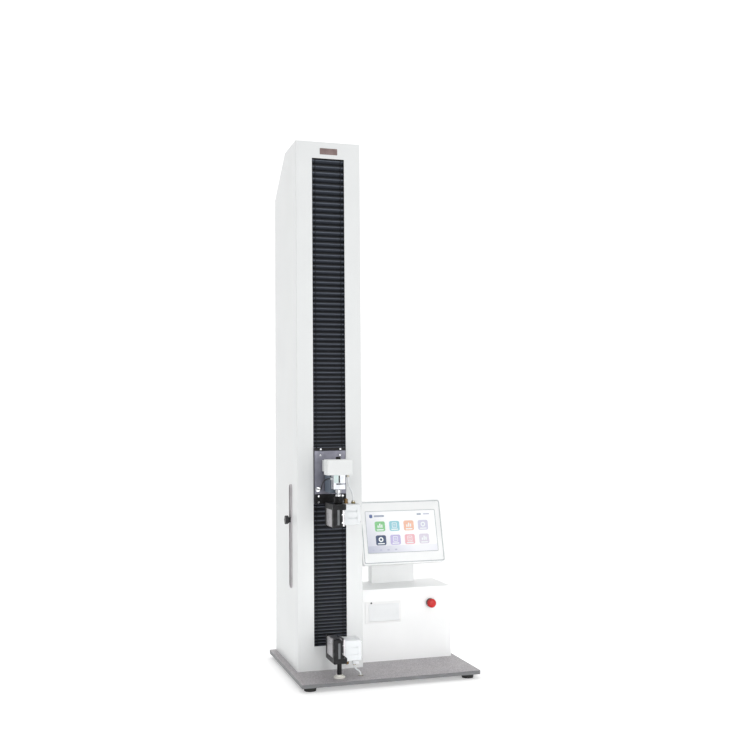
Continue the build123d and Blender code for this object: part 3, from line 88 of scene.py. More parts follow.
camera_data = bpy.data.cameras.new("photo_camera")
camera_data.sensor_width = SENSOR_WIDTH
camera_data.lens = FOCAL_LENGTH
camera_data.clip_end = 50
camera = bpy.data.objects.new("photo_camera", camera_data)
scene.collection.objects.link(camera)
turn = Matrix(camera_axes(CAMERA_YAW, CAMERA_PITCH, CAMERA_ROLL)).transposed()
camera.matrix_world = Matrix.Translation(CAMERA_AT) @ turn.to_4x4()
scene.camera = camera
print("camera at", [round(v, 3) for v in camera.location])

# %% [markdown]
# ## Hoses and the cable
# Two short air hoses feed the grips, and a thin cable joins the load cell to its connector. A hose
# that bends under its own stiffness has no corners, so each is a NURBS curve through a few control
# points, given a round section by its bevel. A mesh tube would need many more points for the same
# smooth line. Their materials come later, with the other plastics.

# %% Hoses and cable
HOSE_RADIUS = 2 * MM
CABLE_RADIUS = 1.6 * MM
UPPER_HOSE = [
    (-0.1062, -0.164, 0.536),
    (-0.1062, -0.164, 0.519),
    (-0.0927, -0.168, 0.492),
    (-0.0927, -0.168, 0.475),
]
LOWER_HOSE = [
    (-0.0927, -0.168, 0.052),
    (-0.0927, -0.168, 0.0435),
    (-0.0747, -0.1655, 0.0325),
    (-0.0747, -0.1655, 0.024),
]
CELL_CABLE = [
    (-0.1537, -0.168, 0.533),
    (-0.1627, -0.168, 0.533),
    (-0.1707, -0.161, 0.527),
    (-0.1727, -0.148, 0.514),
    (-0.1695, -0.131, 0.5015),
    (-0.1695, -0.110, 0.5015),
]


def flexible_line(name, points, radius):
    """A round line along a NURBS spline whose control points are given in metres.

    The bevel is one metre and each point's radius scales it down to the line's own radius,
    because Blender works out a curve's box from the radius of its points.
    """
    curve = bpy.data.curves.new(name, "CURVE")
    curve.dimensions = "3D"
    curve.bevel_depth = 1.0
    curve.bevel_resolution = 6
    curve.resolution_u = 16
    curve.use_fill_caps = True
    spline = curve.splines.new("NURBS")
    spline.points.add(len(points) - 1)
    for point, place in zip(spline.points, points):
        point.co = (*place, 1.0)
        point.radius = radius
    spline.order_u = 3
    spline.use_endpoint_u = True
    line = bpy.data.objects.new(name, curve)
    scene.collection.objects.link(line)
    return line


upper_hose = flexible_line("upper_hose", UPPER_HOSE, HOSE_RADIUS)
lower_hose = flexible_line("lower_hose", LOWER_HOSE, HOSE_RADIUS)
cell_cable = flexible_line("load_cell_cable", CELL_CABLE, CABLE_RADIUS)
for line, body, node, radius, length, points in (
    (upper_hose, "crosshead", "upper_air_hose", HOSE_RADIUS, 0.0639, UPPER_HOSE),
    (lower_hose, "frame", "lower_air_hose", HOSE_RADIUS, 0.0369, LOWER_HOSE),
    (cell_cable, "crosshead", "cell_cable", CABLE_RADIUS, 0.0804, CELL_CABLE),
):
    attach(line, body)
    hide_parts(node)
    print(line.name, "length in mm:", round(length / MM, 1))

# %% [markdown]
# ## The studio
# The machine stands on a pale sweep: a floor that curves up into a wall, so that no horizon shows
# behind it. A large soft lamp in front and to the right lights the front of the column a little
# more than its side, and a second one above gives the top edges their light. Two small lamps with
# narrow beams lift the control box and the foot of the column, as reflectors do in a studio. Area
# lamps are chosen over a sun because their size makes the shadows soft.

# %% Stage and light
SWEEP_HALF_WIDTH = 6.0
SWEEP_FRONT, SWEEP_BACK = -6.0, 2.6
SWEEP_RADIUS = 1.2
SWEEP_TOP = 6.0


def sweep_profile(front, back, radius, top, steps=16):
    """The (y, z) points of a floor that turns up into a wall."""
    arc = [radians(90 * i / steps) for i in range(steps + 1)]
    bend = [(back - radius + radius * sin(a), radius - radius * cos(a)) for a in arc]
    return [(front, 0.0)] + bend + [(back, top)]


sweep_mesh = bpy.data.meshes.new("studio_sweep")
profile = sweep_profile(SWEEP_FRONT, SWEEP_BACK, SWEEP_RADIUS, SWEEP_TOP)
left = [(-SWEEP_HALF_WIDTH, y, z) for y, z in profile]
right = [(SWEEP_HALF_WIDTH, y, z) for y, z in profile]
faces = [(i, i + 1, len(profile) + i + 1, len(profile) + i) for i in range(len(profile) - 1)]
sweep_mesh.from_pydata(left + right, [], faces)
sweep_mesh.shade_smooth()
sweep = bpy.data.objects.new("studio_sweep", sweep_mesh)
scene.collection.objects.link(sweep)


def lamp(name, place, target, size, power, spread=180):
    """A square soft lamp at a place, aimed at a target. A small spread keeps its beam narrow."""
    data = bpy.data.lights.new(name, "AREA")
    data.size = size
    data.energy = power
    data.spread = radians(spread)
    made = bpy.data.objects.new(name, data)
    made.location = place
    made.rotation_euler = (Vector(target) - Vector(place)).to_track_quat("-Z", "Y").to_euler()
    scene.collection.objects.link(made)
    return made


MIDDLE = (0.0, 0.0, 0.7)
lamp("front_lamp", (0.7, -3.6, 0.75), MIDDLE, 3.0, 31)
lamp("top_lamp", (0.0, -0.4, 3.4), MIDDLE, 2.4, 12)
lamp("box_lamp", (0.75, -2.3, 0.5), (0.24, 0.0, 0.1), 0.4, 0.06, spread=14)
lamp("low_lamp", (0.2, -1.7, 0.2), (-0.02, 0.0, 0.05), 0.5, 0.16, spread=26)

world = bpy.data.worlds.new("studio_air")
world.use_nodes = True
world.node_tree.nodes["Background"].inputs["Color"].default_value = (1.0, 1.0, 1.0, 1.0)
world.node_tree.nodes["Background"].inputs["Strength"].default_value = 0.64
scene.world = world
scene.view_settings.view_transform = "Standard"

# %% [markdown]
# ## How the materials are written
# Every finish is a Principled shader with a few texture nodes in front of it. Object coordinates
# place the patterns, because each piece's own coordinates are metres in the machine's frame, so a
# pattern's scale is simply one divided by its grain size. One function adds a node, sets it and
# links it, and three short ones on top of it make the noise, the ramps and the mixes. Another
# turns the hex values that people read off paint cards into linear light.

# %% Shader tools
def linear(code):
    """An sRGB hex value as linear red, green, blue and alpha."""
    channels = [int(code[i : i + 2], 16) / 255 for i in (0, 2, 4)]
    light = [c / 12.92 if c <= 0.04045 else ((c + 0.055) / 1.055) ** 2.4 for c in channels]
    return (*light, 1.0)


def add(tree, kind, inputs=None, **settings):
    """Adds a node. A socket in inputs takes a value or another node's output."""
    made = tree.nodes.new(kind)
    for name, value in settings.items():
        setattr(made, name, value)
    for socket, value in (inputs or {}).items():
        if isinstance(value, bpy.types.NodeSocket):
            tree.links.new(value, made.inputs[socket])
        else:
            made.inputs[socket].default_value = value
    return made


def per_metre(grain_mm):
    """A texture's scale for a grain of that many millimetres."""
    return 1 / (grain_mm * MM)


def noise(tree, place, size_mm, detail=2.0, **inputs):
    """Noise with a grain of so many millimetres."""
    sockets = {"Vector": place, "Scale": per_metre(size_mm), "Detail": detail, **inputs}
    return add(tree, "ShaderNodeTexNoise", sockets).outputs["Fac"]


def ramp(tree, factor, *stops):
    """Turns a factor into colour, through stops that are a position and a hex value each."""
    made = add(tree, "ShaderNodeValToRGB", {"Fac": factor})
    ends = made.color_ramp.elements
    for end, (position, code) in ((ends[0], stops[0]), (ends[1], stops[-1])):
        end.position = position
        end.color = linear(code)
    for position, code in stops[1:-1]:
        ends.new(position).color = linear(code)
    return made.outputs["Color"]


def mix(tree, factor, first, second, **settings):
    """Mixes two colours."""
    sockets = {"Factor": factor, "A": first, "B": second}
    return add(tree, "ShaderNodeMix", sockets, data_type="RGBA", **settings).outputs["Result"]


def start_material(name, roughness, metallic=0.0, **sockets):
    """A material, its node tree, its Principled shader and its object coordinates."""
    material = bpy.data.materials.new(name)
    material.use_nodes = True
    tree = material.node_tree
    shader = tree.nodes["Principled BSDF"]
    shader.inputs["Roughness"].default_value = roughness
    shader.inputs["Metallic"].default_value = metallic
    for socket, value in sockets.items():
        shader.inputs[socket.replace("_", " ")].default_value = value
    place = add(tree, "ShaderNodeTexCoord").outputs["Object"]
    return material, tree, shader, place


def mottle(tree, shader, place, dark, light, grain_mm, detail=3.0):
    """Lets a colour drift softly between two values, as a sprayed or cast surface does."""
    drift = noise(tree, place, grain_mm, detail)
    tree.links.new(ramp(tree, drift, (0.32, dark), (0.68, light)), shader.inputs["Base Color"])


def uneven_gloss(tree, shader, place, low, high, grain_mm):
    """Varies the roughness between two values, as handling and wiping leave it."""
    wear = noise(tree, place, grain_mm, detail=4.0)
    sockets = {"Value": wear, "From Min": 0.3, "From Max": 0.7, "To Min": low, "To Max": high}
    spread = add(tree, "ShaderNodeMapRange", sockets)
    tree.links.new(spread.outputs["Result"], shader.inputs["Roughness"])


def relief(tree, shader, height, depth_mm, strength=1.0):
    """Raises the surface by a height texture, to a depth in millimetres."""
    sockets = {"Height": height, "Distance": depth_mm * MM, "Strength": strength}
    bump = add(tree, "ShaderNodeBump", sockets)
    tree.links.new(bump.outputs["Normal"], shader.inputs["Normal"])


print("paint card check, mid grey:", [round(v, 3) for v in linear("808080")])

# %% [markdown]
# ## Powder coat
# The column, the box, the load arm and the cylinders are steel and aluminium under a white powder
# coat. Powder melts in an oven and levels out, but leaves an orange peel of about 1.5 mm. That is
# too fine to show at this distance, so it is drawn at 4 mm, shallow, and only breaks the
# reflections. The base has a coarse texture powder in two greys, which reads as fine speckle.

# %% White powder coat
def powder_coat(name, dark, light, peel_mm=4.0, low=0.34, high=0.46):
    """A smooth coat of baked powder."""
    material, tree, shader, place = start_material(name, low)
    mottle(tree, shader, place, dark, light, grain_mm=90)
    uneven_gloss(tree, shader, place, low, high, grain_mm=45)
    relief(tree, shader, noise(tree, place, peel_mm, detail=1.5), depth_mm=0.12, strength=0.5)
    return material


white_powder = powder_coat("column_white_coat", "E6E8E8", "E9EBEB")
# The box's coat is the column's white painted lighter: painted light that lifts the shade which the
# column, the base and the screen cast on the control box and its stand.
box_lit_powder = powder_coat("box_lit_white_coat", "F3F4F4", "F6F7F7")
cylinder_powder = powder_coat("cylinder_white_coat", "E6E9EB", "EAEDEF", low=0.28, high=0.38)
amplifier_coat = powder_coat("blue_grey_coat", "56626F", "64707E", low=0.3, high=0.42)
print("powder coats:", white_powder.name, cylinder_powder.name, amplifier_coat.name)


# %% Textured base coat
def texture_coat(name, ground, dark_fleck, light_fleck, edge, fleck_mm=3.0):
    """A grey texture powder with flecks and a pebbled relief, whose side faces are painted darker as
    painted shade.
    """
    material, tree, shader, place = start_material(name, 0.42)
    flecks = noise(tree, place, fleck_mm, Roughness=0.7)
    speckle = ramp(tree, flecks, (0.36, dark_fleck), (0.5, ground), (0.66, light_fleck))
    flecked = mix(tree, 0.85, linear(ground), speckle)
    # Painted shade: faces that do not look up, the base's sides, take the darker edge grey as if they
    # lay in shade; upward faces keep the flecked coat.
    direction = add(tree, "ShaderNodeNewGeometry").outputs["True Normal"]
    upward = add(tree, "ShaderNodeSeparateXYZ", {"Vector": direction}).outputs["Z"]
    top = add(tree, "ShaderNodeMapRange", {"Value": upward, "From Min": 0.4, "From Max": 0.9})
    coat = mix(tree, top.outputs["Result"], linear(edge), flecked)
    tree.links.new(coat, shader.inputs["Base Color"])
    uneven_gloss(tree, shader, place, 0.34, 0.5, grain_mm=30)
    relief(tree, shader, flecks, depth_mm=0.3)
    return material


# The edge grey 6E6F71 is the painted shade of the base's side faces.
base_coat = texture_coat("grey_texture_coat", "A6A2A5", "817D80", "C0BCBF", edge="6E6F71")
print("base coat:", base_coat.name)

# %% [markdown]
# ## Metals
# Four metals do the work. Ground steel shows fine scratches across one direction, made by noise
# stretched along it. Anodised aluminium has been blasted, so its grain is even and its gloss soft.
# Black oxide steel is dark and oily. Chrome and nickel are smooth
# platings whose roughness only drifts. A metal's colour is its reflection, so its base colour is
# light and its metallic value is one.

# %% Metal finishes
def drawn_scratches(tree, place, width_mm, length_mm, direction="X"):
    """Noise stretched along one axis: the marks that grinding leaves."""
    scale = {axis: per_metre(width_mm) for axis in "XYZ"}
    scale[direction] = per_metre(length_mm)
    sockets = {"Vector": place, "Scale": (scale["X"], scale["Y"], scale["Z"])}
    stretched = add(tree, "ShaderNodeMapping", sockets).outputs["Vector"]
    sockets = {"Vector": stretched, "Scale": 1.0, "Detail": 3.0}
    return add(tree, "ShaderNodeTexNoise", sockets).outputs["Fac"]


def ground_steel(name, dark, light, direction="X", roughness=0.3):
    """Steel as it comes off a surface grinder."""
    material, tree, shader, place = start_material(name, roughness, metallic=1.0)
    marks = drawn_scratches(tree, place, width_mm=0.8, length_mm=30, direction=direction)
    tree.links.new(ramp(tree, marks, (0, dark), (1, light)), shader.inputs["Base Color"])
    uneven_gloss(tree, shader, place, roughness - 0.06, roughness + 0.1, grain_mm=12)
    relief(tree, shader, marks, depth_mm=0.05, strength=0.5)
    return material


def blasted_aluminium(name, dark, light, grain_mm=1.2, roughness=0.42, metallic=1.0):
    """Aluminium, blasted with beads and anodised. Less metallic, it is a dull zinc coat."""
    material, tree, shader, place = start_material(name, roughness, metallic=metallic)
    mottle(tree, shader, place, dark, light, grain_mm=25)
    uneven_gloss(tree, shader, place, roughness - 0.05, roughness + 0.08, grain_mm=18)
    relief(tree, shader, noise(tree, place, grain_mm), depth_mm=0.06, strength=0.6)
    return material


def black_oxide(name, dark, light, roughness=0.42):
    """Blackened steel with a thin film of oil."""
    material, tree, shader, place = start_material(name, roughness, metallic=0.6)
    mottle(tree, shader, place, dark, light, grain_mm=14, detail=5.0)
    uneven_gloss(tree, shader, place, roughness - 0.08, roughness + 0.12, grain_mm=9)
    marks = drawn_scratches(tree, place, width_mm=1.0, length_mm=18, direction="Z")
    relief(tree, shader, marks, depth_mm=0.05, strength=0.5)
    return material


def plated(name, colour, drift, low=0.08, high=0.2):
    """A bright plating, such as chrome or nickel."""
    material, tree, shader, place = start_material(name, low, metallic=1.0)
    mottle(tree, shader, place, drift, colour, grain_mm=10)
    uneven_gloss(tree, shader, place, low, high, grain_mm=6)
    return material


def sintered_bronze(name):
    """Bronze beads pressed together, as in an air silencer, painted darker towards the gaps between
    them as painted shade in the pores. The beads are drawn at 1 mm.
    """
    material, tree, shader, place = start_material(name, 0.5, metallic=1.0)
    sockets = {"Vector": place, "Scale": per_metre(1.0)}
    beads = add(tree, "ShaderNodeTexVoronoi", sockets).outputs["Distance"]
    # Painted shade: the colour runs from light bead middles to dark gaps, as if the pores lay in
    # shade.
    tree.links.new(ramp(tree, beads, (0, "B39468"), (1, "5A4630")), shader.inputs["Base Color"])
    relief(tree, shader, beads, depth_mm=-0.3)
    return material


jaw_steel = ground_steel("ground_jaw_steel", "B8B6B9", "E0DDE0", direction="Z", roughness=0.3)
rail_steel = ground_steel("ground_rail_steel", "9A9DA0", "C6C8CA", direction="Z")
strip_steel = ground_steel("dark_strip_steel", "55585A", "77797B", direction="Z", roughness=0.4)
sheet_steel = ground_steel("rolled_sheet_steel", "8D9093", "B5B8BA", direction="X", roughness=0.38)
aluminium = blasted_aluminium("anodised_aluminium", "B4B7BA", "CDD0D2")
plate_aluminium = blasted_aluminium("grey_anodised_plate", "81818C", "9595A1", roughness=0.46)
trim_aluminium = blasted_aluminium("satin_trim_aluminium", "C2BEC0", "D2CED0", roughness=0.5)
zinc = blasted_aluminium("zinc_flake_coat", "EAE8E1", "F6F4EE", roughness=0.5, metallic=0.3)
cell_aluminium = blasted_aluminium("load_cell_aluminium", "B9BDC2", "DADDE0", roughness=0.3)
blackened = black_oxide("black_oxide_steel", "131314", "232325")
screw_black = black_oxide("black_screw_steel", "19191A", "2D2D2F", roughness=0.34)
chrome = plated("chrome_plate", "DCDDDF", "C4C6C9")
nickel = plated("nickel_plate", "C9C4B8", "B3AEA2", low=0.14, high=0.28)
aged_brass = plated("aged_brass", "A39672", "8A7D5C", low=0.3, high=0.45)
bronze = sintered_bronze("sintered_bronze")
print("metals:", len([m for m in bpy.data.materials if m.use_nodes]))

# %% [markdown]
# ## Plastics, rubber and cloth
# Moulded covers are ABS with a spark-eroded grain of about half a millimetre, drawn at 1.5 mm.
# Rubber is nearly black, dull and slightly dusty. The bellows are a polyester cloth with a
# polyurethane coat: black and soft in its gloss. The outer edges of the folds carry a painted
# highlight, lighter where the crests catch the light; since a fold's outer edge lies nearer to
# the front, that painted highlight is read from the depth. A dark line painted along each side
# stands for the shade of the folds' mitred corners.

# %% Plastic finishes
def moulded(name, dark, light, grain_mm=1.5, roughness=0.4, depth_mm=0.08, **sockets):
    """A moulded plastic with the grain of its tool."""
    material, tree, shader, place = start_material(name, roughness, **sockets)
    mottle(tree, shader, place, dark, light, grain_mm=40)
    uneven_gloss(tree, shader, place, roughness - 0.05, roughness + 0.07, grain_mm=20)
    relief(tree, shader, noise(tree, place, grain_mm), depth_mm=depth_mm, strength=0.5)
    return material


white_abs = moulded("white_abs", "EFF1F1", "F3F4F4", roughness=0.32)
printer_abs = moulded("pale_grey_abs", "ECEDED", "F0F0F0", roughness=0.4)
door_abs = moulded("printer_door_abs", "E5E7E8", "E9EBEC", roughness=0.36)
black_abs = moulded("black_abs", "17181A", "222326", roughness=0.42)
red_abs = moulded("red_signal_plastic", "C3130F", "D91E17", roughness=0.24, grain_mm=3.0)
hose_pu = moulded("white_polyurethane_hose", "E4E7EA", "F2F4F5", roughness=0.25, grain_mm=4.0)
cable_pvc = moulded("black_cable_sheath", "1B1C1E", "29292C", roughness=0.5)
rubber = moulded("foot_rubber", "1A1A1A", "272726", roughness=0.72, depth_mm=0.2)
belt_rubber = moulded("belt_rubber", "141414", "1F1F1F", roughness=0.66)
paper_white = moulded("thermal_paper", "F0EFEA", "F8F7F3", roughness=0.7, grain_mm=0.8)
circuit_green = moulded("circuit_board_green", "0E4A2B", "15603A", roughness=0.35)
print("plastics:", white_abs.name, black_abs.name, red_abs.name)


# %% Bellows cloth
# Where the painted shade line on each side of the bellows lies, measured from their middle, and its
# half width.
SIDE_SHADE_REACH = 35.5 * MM
SIDE_SHADE_HALF_WIDTH = 1.3 * MM


def bellows_cloth(name, front_y, depth, middle_x):
    """Coated cloth with a painted highlight where its folds stand forward and a painted shade line
    along each side.
    """
    material, tree, shader, place = start_material(name, 0.6, Specular_IOR_Level=0.4)
    shader.inputs["Sheen Weight"].default_value = 0.15
    axes = add(tree, "ShaderNodeSeparateXYZ", {"Vector": place})
    # Painted highlight: the folds' crests, which stand nearest the front, are painted lighter as if
    # they caught the light.
    crest_light = add(
        tree, "ShaderNodeMapRange",
        {"Value": axes.outputs["Y"], "From Min": front_y + depth, "From Max": front_y},
    )
    crest_highlight = ramp(tree, crest_light.outputs["Result"], (0.1, "0A0C10"), (0.88, "3B424E"), (1, "7A818E"))
    # Painted shade: a dark line along each side, where the mitred corners of the folds fall in shade.
    sideways = add(tree, "ShaderNodeMath", {0: axes.outputs["X"], 1: middle_x}, operation="SUBTRACT")
    reach = add(tree, "ShaderNodeMath", {0: sideways.outputs["Value"]}, operation="ABSOLUTE")
    side_shade_line = add(
        tree, "ShaderNodeMath",
        {0: reach.outputs["Value"], 1: SIDE_SHADE_REACH, 2: SIDE_SHADE_HALF_WIDTH},
        operation="COMPARE",
    )
    # The painted shade line is laid over the painted highlight, and then a little dust is multiplied
    # in.
    pressed = mix(tree, side_shade_line.outputs["Value"], crest_highlight, linear("101216"))
    dust = noise(tree, place, 14, detail=4.0)
    dust_and_painted_light = mix(tree, 0.25, pressed, dust, blend_type="MULTIPLY")
    tree.links.new(dust_and_painted_light, shader.inputs["Base Color"])
    threads = [
        add(
            tree, "ShaderNodeTexWave",
            {"Vector": place, "Scale": per_metre(1.6) / (2 * pi), "Distortion": 0.6},
            wave_type="BANDS", bands_direction=direction,
        )
        for direction in ("X", "Z")
    ]
    weave = add(
        tree, "ShaderNodeMath",
        {0: threads[0].outputs["Fac"], 1: threads[1].outputs["Fac"]},
        operation="MULTIPLY",
    )
    relief(tree, shader, weave.outputs["Value"], depth_mm=0.12, strength=0.6)
    return material


upper_low, upper_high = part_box("bellows_upper")
BELLOWS_FRONT = upper_low.y
BELLOWS_DEPTH = upper_high.y - upper_low.y
BELLOWS_MIDDLE = (upper_low.x + upper_high.x) / 2
cloth = bellows_cloth("coated_bellows_cloth", BELLOWS_FRONT, BELLOWS_DEPTH, BELLOWS_MIDDLE)
print("bellows depth in mm:", round(BELLOWS_DEPTH / MM, 1))

# %% Floor finish
sweep_paint, sweep_tree, sweep_shader, sweep_place = start_material("studio_paint", 0.8)
mottle(sweep_tree, sweep_shader, sweep_place, "F4F4F4", "F7F7F7", grain_mm=700)
sweep_shader.inputs["Emission Color"].default_value = linear("FFFFFF")
sweep_shader.inputs["Emission Strength"].default_value = 0.34
sweep_mesh.materials.append(sweep_paint)

# %% [markdown]
# ## Building small pieces
# Screws, plates and rings are all stacks of flat outlines that are joined from one height to the
# next. A screw head is a circle, a slightly smaller circle for its rounded edge, and then a
# hexagon that goes back down for its socket. Doing this in BMesh gives clean quads with no
# modifiers. The outlines of one stack all have the same number of points, so they join one to one.

# %% Mesh tools
ROUND = 24


def circle(radius, steps=ROUND):
    """Points round a circle."""
    return [(radius * cos(2 * pi * i / steps), radius * sin(2 * pi * i / steps)) for i in range(steps)]


def polygon(radius, sides, steps=ROUND):
    """Points along a regular polygon, with its corners on the radius."""
    points = []
    for i in range(steps):
        angle = 2 * pi * i / steps
        within = (angle % (2 * pi / sides)) - pi / sides
        reach = radius * cos(pi / sides) / cos(within)
        points.append((reach * cos(angle), reach * sin(angle)))
    return points


def cross(radius, steps=ROUND):
    """Points of a cross recess."""
    arm = steps // 4
    points = []
    for i in range(steps):
        near = min(i % arm, arm - i % arm)
        reach = radius * (1.0 if near <= 1 else 0.38)
        points.append((reach * cos(2 * pi * i / steps), reach * sin(2 * pi * i / steps)))
    return points


def rounded(width, height, corner, steps=5):
    """Points of a rectangle with rounded corners, about its middle."""
    points = []
    for across, up, first in ((1, 1, 0), (-1, 1, 90), (-1, -1, 180), (1, -1, 270)):
        for i in range(steps + 1):
            angle = radians(first + 90 * i / steps)
            x = across * (width / 2 - corner) + corner * cos(angle)
            y = up * (height / 2 - corner) + corner * sin(angle)
            points.append((x, y))
    return points


def facing(origin, out, up=(0, 0, 1)):
    """A place whose local Z points out and whose local Y points up."""
    out = Vector(out).normalized()
    right = Vector(up).cross(out).normalized()
    turned = Matrix((right, out.cross(right), out)).transposed().to_4x4()
    return Matrix.Translation(Vector(origin)) @ turned


def stack(form, place, layers):
    """Joins flat outlines, each given with its height, into one closed form."""
    rings = []
    for height, outline in layers:
        rings.append([form.verts.new(place @ Vector((x, y, height))) for x, y in outline])
    for lower, upper in zip(rings, rings[1:]):
        for i, corner in enumerate(lower):
            j = (i + 1) % len(lower)
            form.faces.new((corner, lower[j], upper[j], upper[i]))
    form.faces.new(list(reversed(rings[0])))
    form.faces.new(rings[-1])


def plate(form, place, width, height, thickness, corner, edge):
    """A plate with rounded corners and a softened front edge."""
    stack(form, place, [
        (0, rounded(width, height, corner)),
        (thickness - edge, rounded(width, height, corner)),
        (thickness, rounded(width - 2 * edge, height - 2 * edge, max(corner - edge, 0.1 * MM))),
    ])


def ring(form, place, outer, inner, thickness):
    """A flat frame between two outlines with the same number of points."""
    levels = [
        [form.verts.new(place @ Vector((x, y, height))) for x, y in outline]
        for height, outline in ((0, outer), (thickness, outer), (thickness, inner), (0, inner))
    ]
    for level, following in zip(levels, levels[1:] + levels[:1]):
        for i in range(len(outer)):
            j = (i + 1) % len(outer)
            form.faces.new((level[i], level[j], following[j], following[i]))


def piece(name, form, material, body, sharp=35):
    """Turns a BMesh form into a finished piece that rides on a body."""
    bmesh.ops.recalc_face_normals(form, faces=form.faces)
    mesh = bpy.data.meshes.new(name)
    form.to_mesh(mesh)
    form.free()
    mesh.shade_smooth()
    mesh.set_sharp_from_angle(angle=radians(sharp))
    mesh.materials.append(material)
    made = bpy.data.objects.new(name, mesh)
    scene.collection.objects.link(made)
    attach(made, body)
    return made


def socket_screws(name, places, radius, out, material, body, up=(0, 0, 1)):
    """Socket-head screws with their heads standing on the surface at each place."""
    form = bmesh.new()
    height = radius
    edge = radius * 0.12
    for place in places:
        stack(form, facing(place, out, up), [
            (0, circle(radius)),
            (height - edge, circle(radius)),
            (height, circle(radius - edge)),
            (height, polygon(radius * 0.58, 6)),
            (height * 0.45, polygon(radius * 0.58, 6)),
        ])
    return piece(name, form, material, body)


def pan_screws(name, places, radius, out, material, body, up=(0, 0, 1)):
    """Pan-head screws with a cross recess."""
    form = bmesh.new()
    for place in places:
        stack(form, facing(place, out, up), [
            (0, circle(radius)),
            (radius * 0.3, circle(radius)),
            (radius * 0.52, circle(radius * 0.86)),
            (radius * 0.62, circle(radius * 0.62)),
            (radius * 0.64, cross(radius * 0.56)),
            (radius * 0.3, cross(radius * 0.4)),
        ])
    return piece(name, form, material, body)


print("outline points:", len(circle(1)), len(polygon(1, 6)), len(cross(1)))

# %% [markdown]
# ## Bellows
# The bellows keep dust off the screw and fold up as the crosshead nears them. Each fold hangs on
# those above it, so the pleats open a little more towards the top. The piece has to stretch and
# close with the crosshead. Blending one long mesh would move it by a smooth S-curve, which bunches
# the folds in the middle, so it is cut into sections that grow from each end.

# %% Bellows
FOLD_WALL = 2.4 * MM
FLANGE = 1.5 * MM
FOLD_SHAPE = ((0.0, 0.04), (0.07, 0.13), (0.44, 0.9), (0.5, 1.0), (0.56, 0.9), (0.93, 0.13))


def section_ends(folds):
    """Fold numbers where the sections end: 1, 2, 4, 8 and so on from both ends to the middle."""
    steps = [0]
    width = 1
    while width < folds / 2:
        steps.append(width)
        width *= 2
    return sorted(set(steps + [folds - s for s in steps]))


def fold_heights(bottom, top, folds, stretch):
    """The heights where the folds meet. The sizes grow upwards, by stretch about their mean."""
    middle = (folds - 1) / 2
    sizes = [1 + stretch * (i - middle) / middle for i in range(folds)]
    unit = (top - bottom) / sum(sizes)
    heights = [bottom]
    for size in sizes:
        heights.append(heights[-1] + size * unit)
    return heights


def bellows(node, folds, stretch):
    """One bellows between its fixed end and the end that the crosshead moves."""
    low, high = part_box(node)
    heights = fold_heights(low.z + FLANGE, high.z - FLANGE, folds, stretch)
    inner = high.y - FOLD_WALL
    ends = section_ends(folds)
    for number, (first, last) in enumerate(zip(ends, ends[1:]), 1):
        rows = []
        for fold in range(first, last):
            size = heights[fold + 1] - heights[fold]
            rows += [
                (inner + (low.y - inner) * depth, heights[fold] + size * share)
                for share, depth in FOLD_SHAPE
            ]
        rows.append((inner + (low.y - inner) * FOLD_SHAPE[0][1], heights[last]))
        if first == 0:
            rows[:0] = [(low.y, low.z), (low.y, low.z + FLANGE)]
        if last == folds:
            rows += [(low.y, high.z - FLANGE), (low.y, high.z)]
        form = bmesh.new()
        sides = []
        for x in (low.x, high.x):
            front = [form.verts.new((x, y, z)) for y, z in rows]
            back = [form.verts.new((x, y + FOLD_WALL, z)) for y, z in rows]
            sides.append((front, back))
        (front_l, back_l), (front_r, back_r) = sides
        for i in range(len(rows) - 1):
            form.faces.new((front_l[i], front_r[i], front_r[i + 1], front_l[i + 1]))
            form.faces.new((back_l[i], back_l[i + 1], back_r[i + 1], back_r[i]))
            form.faces.new((front_l[i], front_l[i + 1], back_l[i + 1], back_l[i]))
            form.faces.new((front_r[i], back_r[i], back_r[i + 1], front_r[i + 1]))
        for i in (0, len(rows) - 1):
            form.faces.new((front_l[i], back_l[i], back_r[i], front_r[i]))
        bmesh.ops.recalc_face_normals(form, faces=form.faces)
        name = f"{node}_folds_{number}"
        mesh = bpy.data.meshes.new(name)
        form.to_mesh(mesh)
        form.free()
        mesh.shade_smooth()
        mesh.set_sharp_from_angle(angle=radians(62))
        mesh.materials.append(cloth)
        section = bpy.data.objects.new(name, mesh)
        scene.collection.objects.link(section)
        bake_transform(section)
        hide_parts(node)
    print(node, "sections:", len(ends) - 1)


bellows("bellows_upper", 57, 0.24)
bellows("bellows_lower", 37, 0.22)

# %% [markdown]
# ## Screws
# A screw is where a machine shows how it goes together. Socket screws clamp the bellows, the grips
# and the air cylinders. Pan heads hold the thin covers. Their places are set from the box of the
# piece that they hold, so they stay in line with it.

# %% Screws
FRONT, BEHIND = (0, -1, 0), (0, 1, 0)
RIGHT, UP = (1, 0, 0), (0, 0, 1)
axis = sum(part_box("lower_post"), Vector()) / 2


PLATE_SCREW_REACH, BAR_SCREW_REACH = 27 * MM, 33 * MM
TOP_BAR_DROP, PLATE_SCREW_DROP = 4.3 * MM, 20.3 * MM
STRIP_WIDTH, STRIP_HEIGHT, STRIP_THICKNESS = 6 * MM, 39 * MM, 0.8 * MM
COVER_ROWS, COVER_REACH, COVER_MARGIN = 6, 82 * MM, 20 * MM
PANEL_SIDE_MARGIN, PANEL_END_MARGIN = 8 * MM, 10 * MM


def pairs(x, reach, y, z):
    """Two places at the same distance on both sides of x."""
    return [(x - reach, y, z), (x + reach, y, z)]


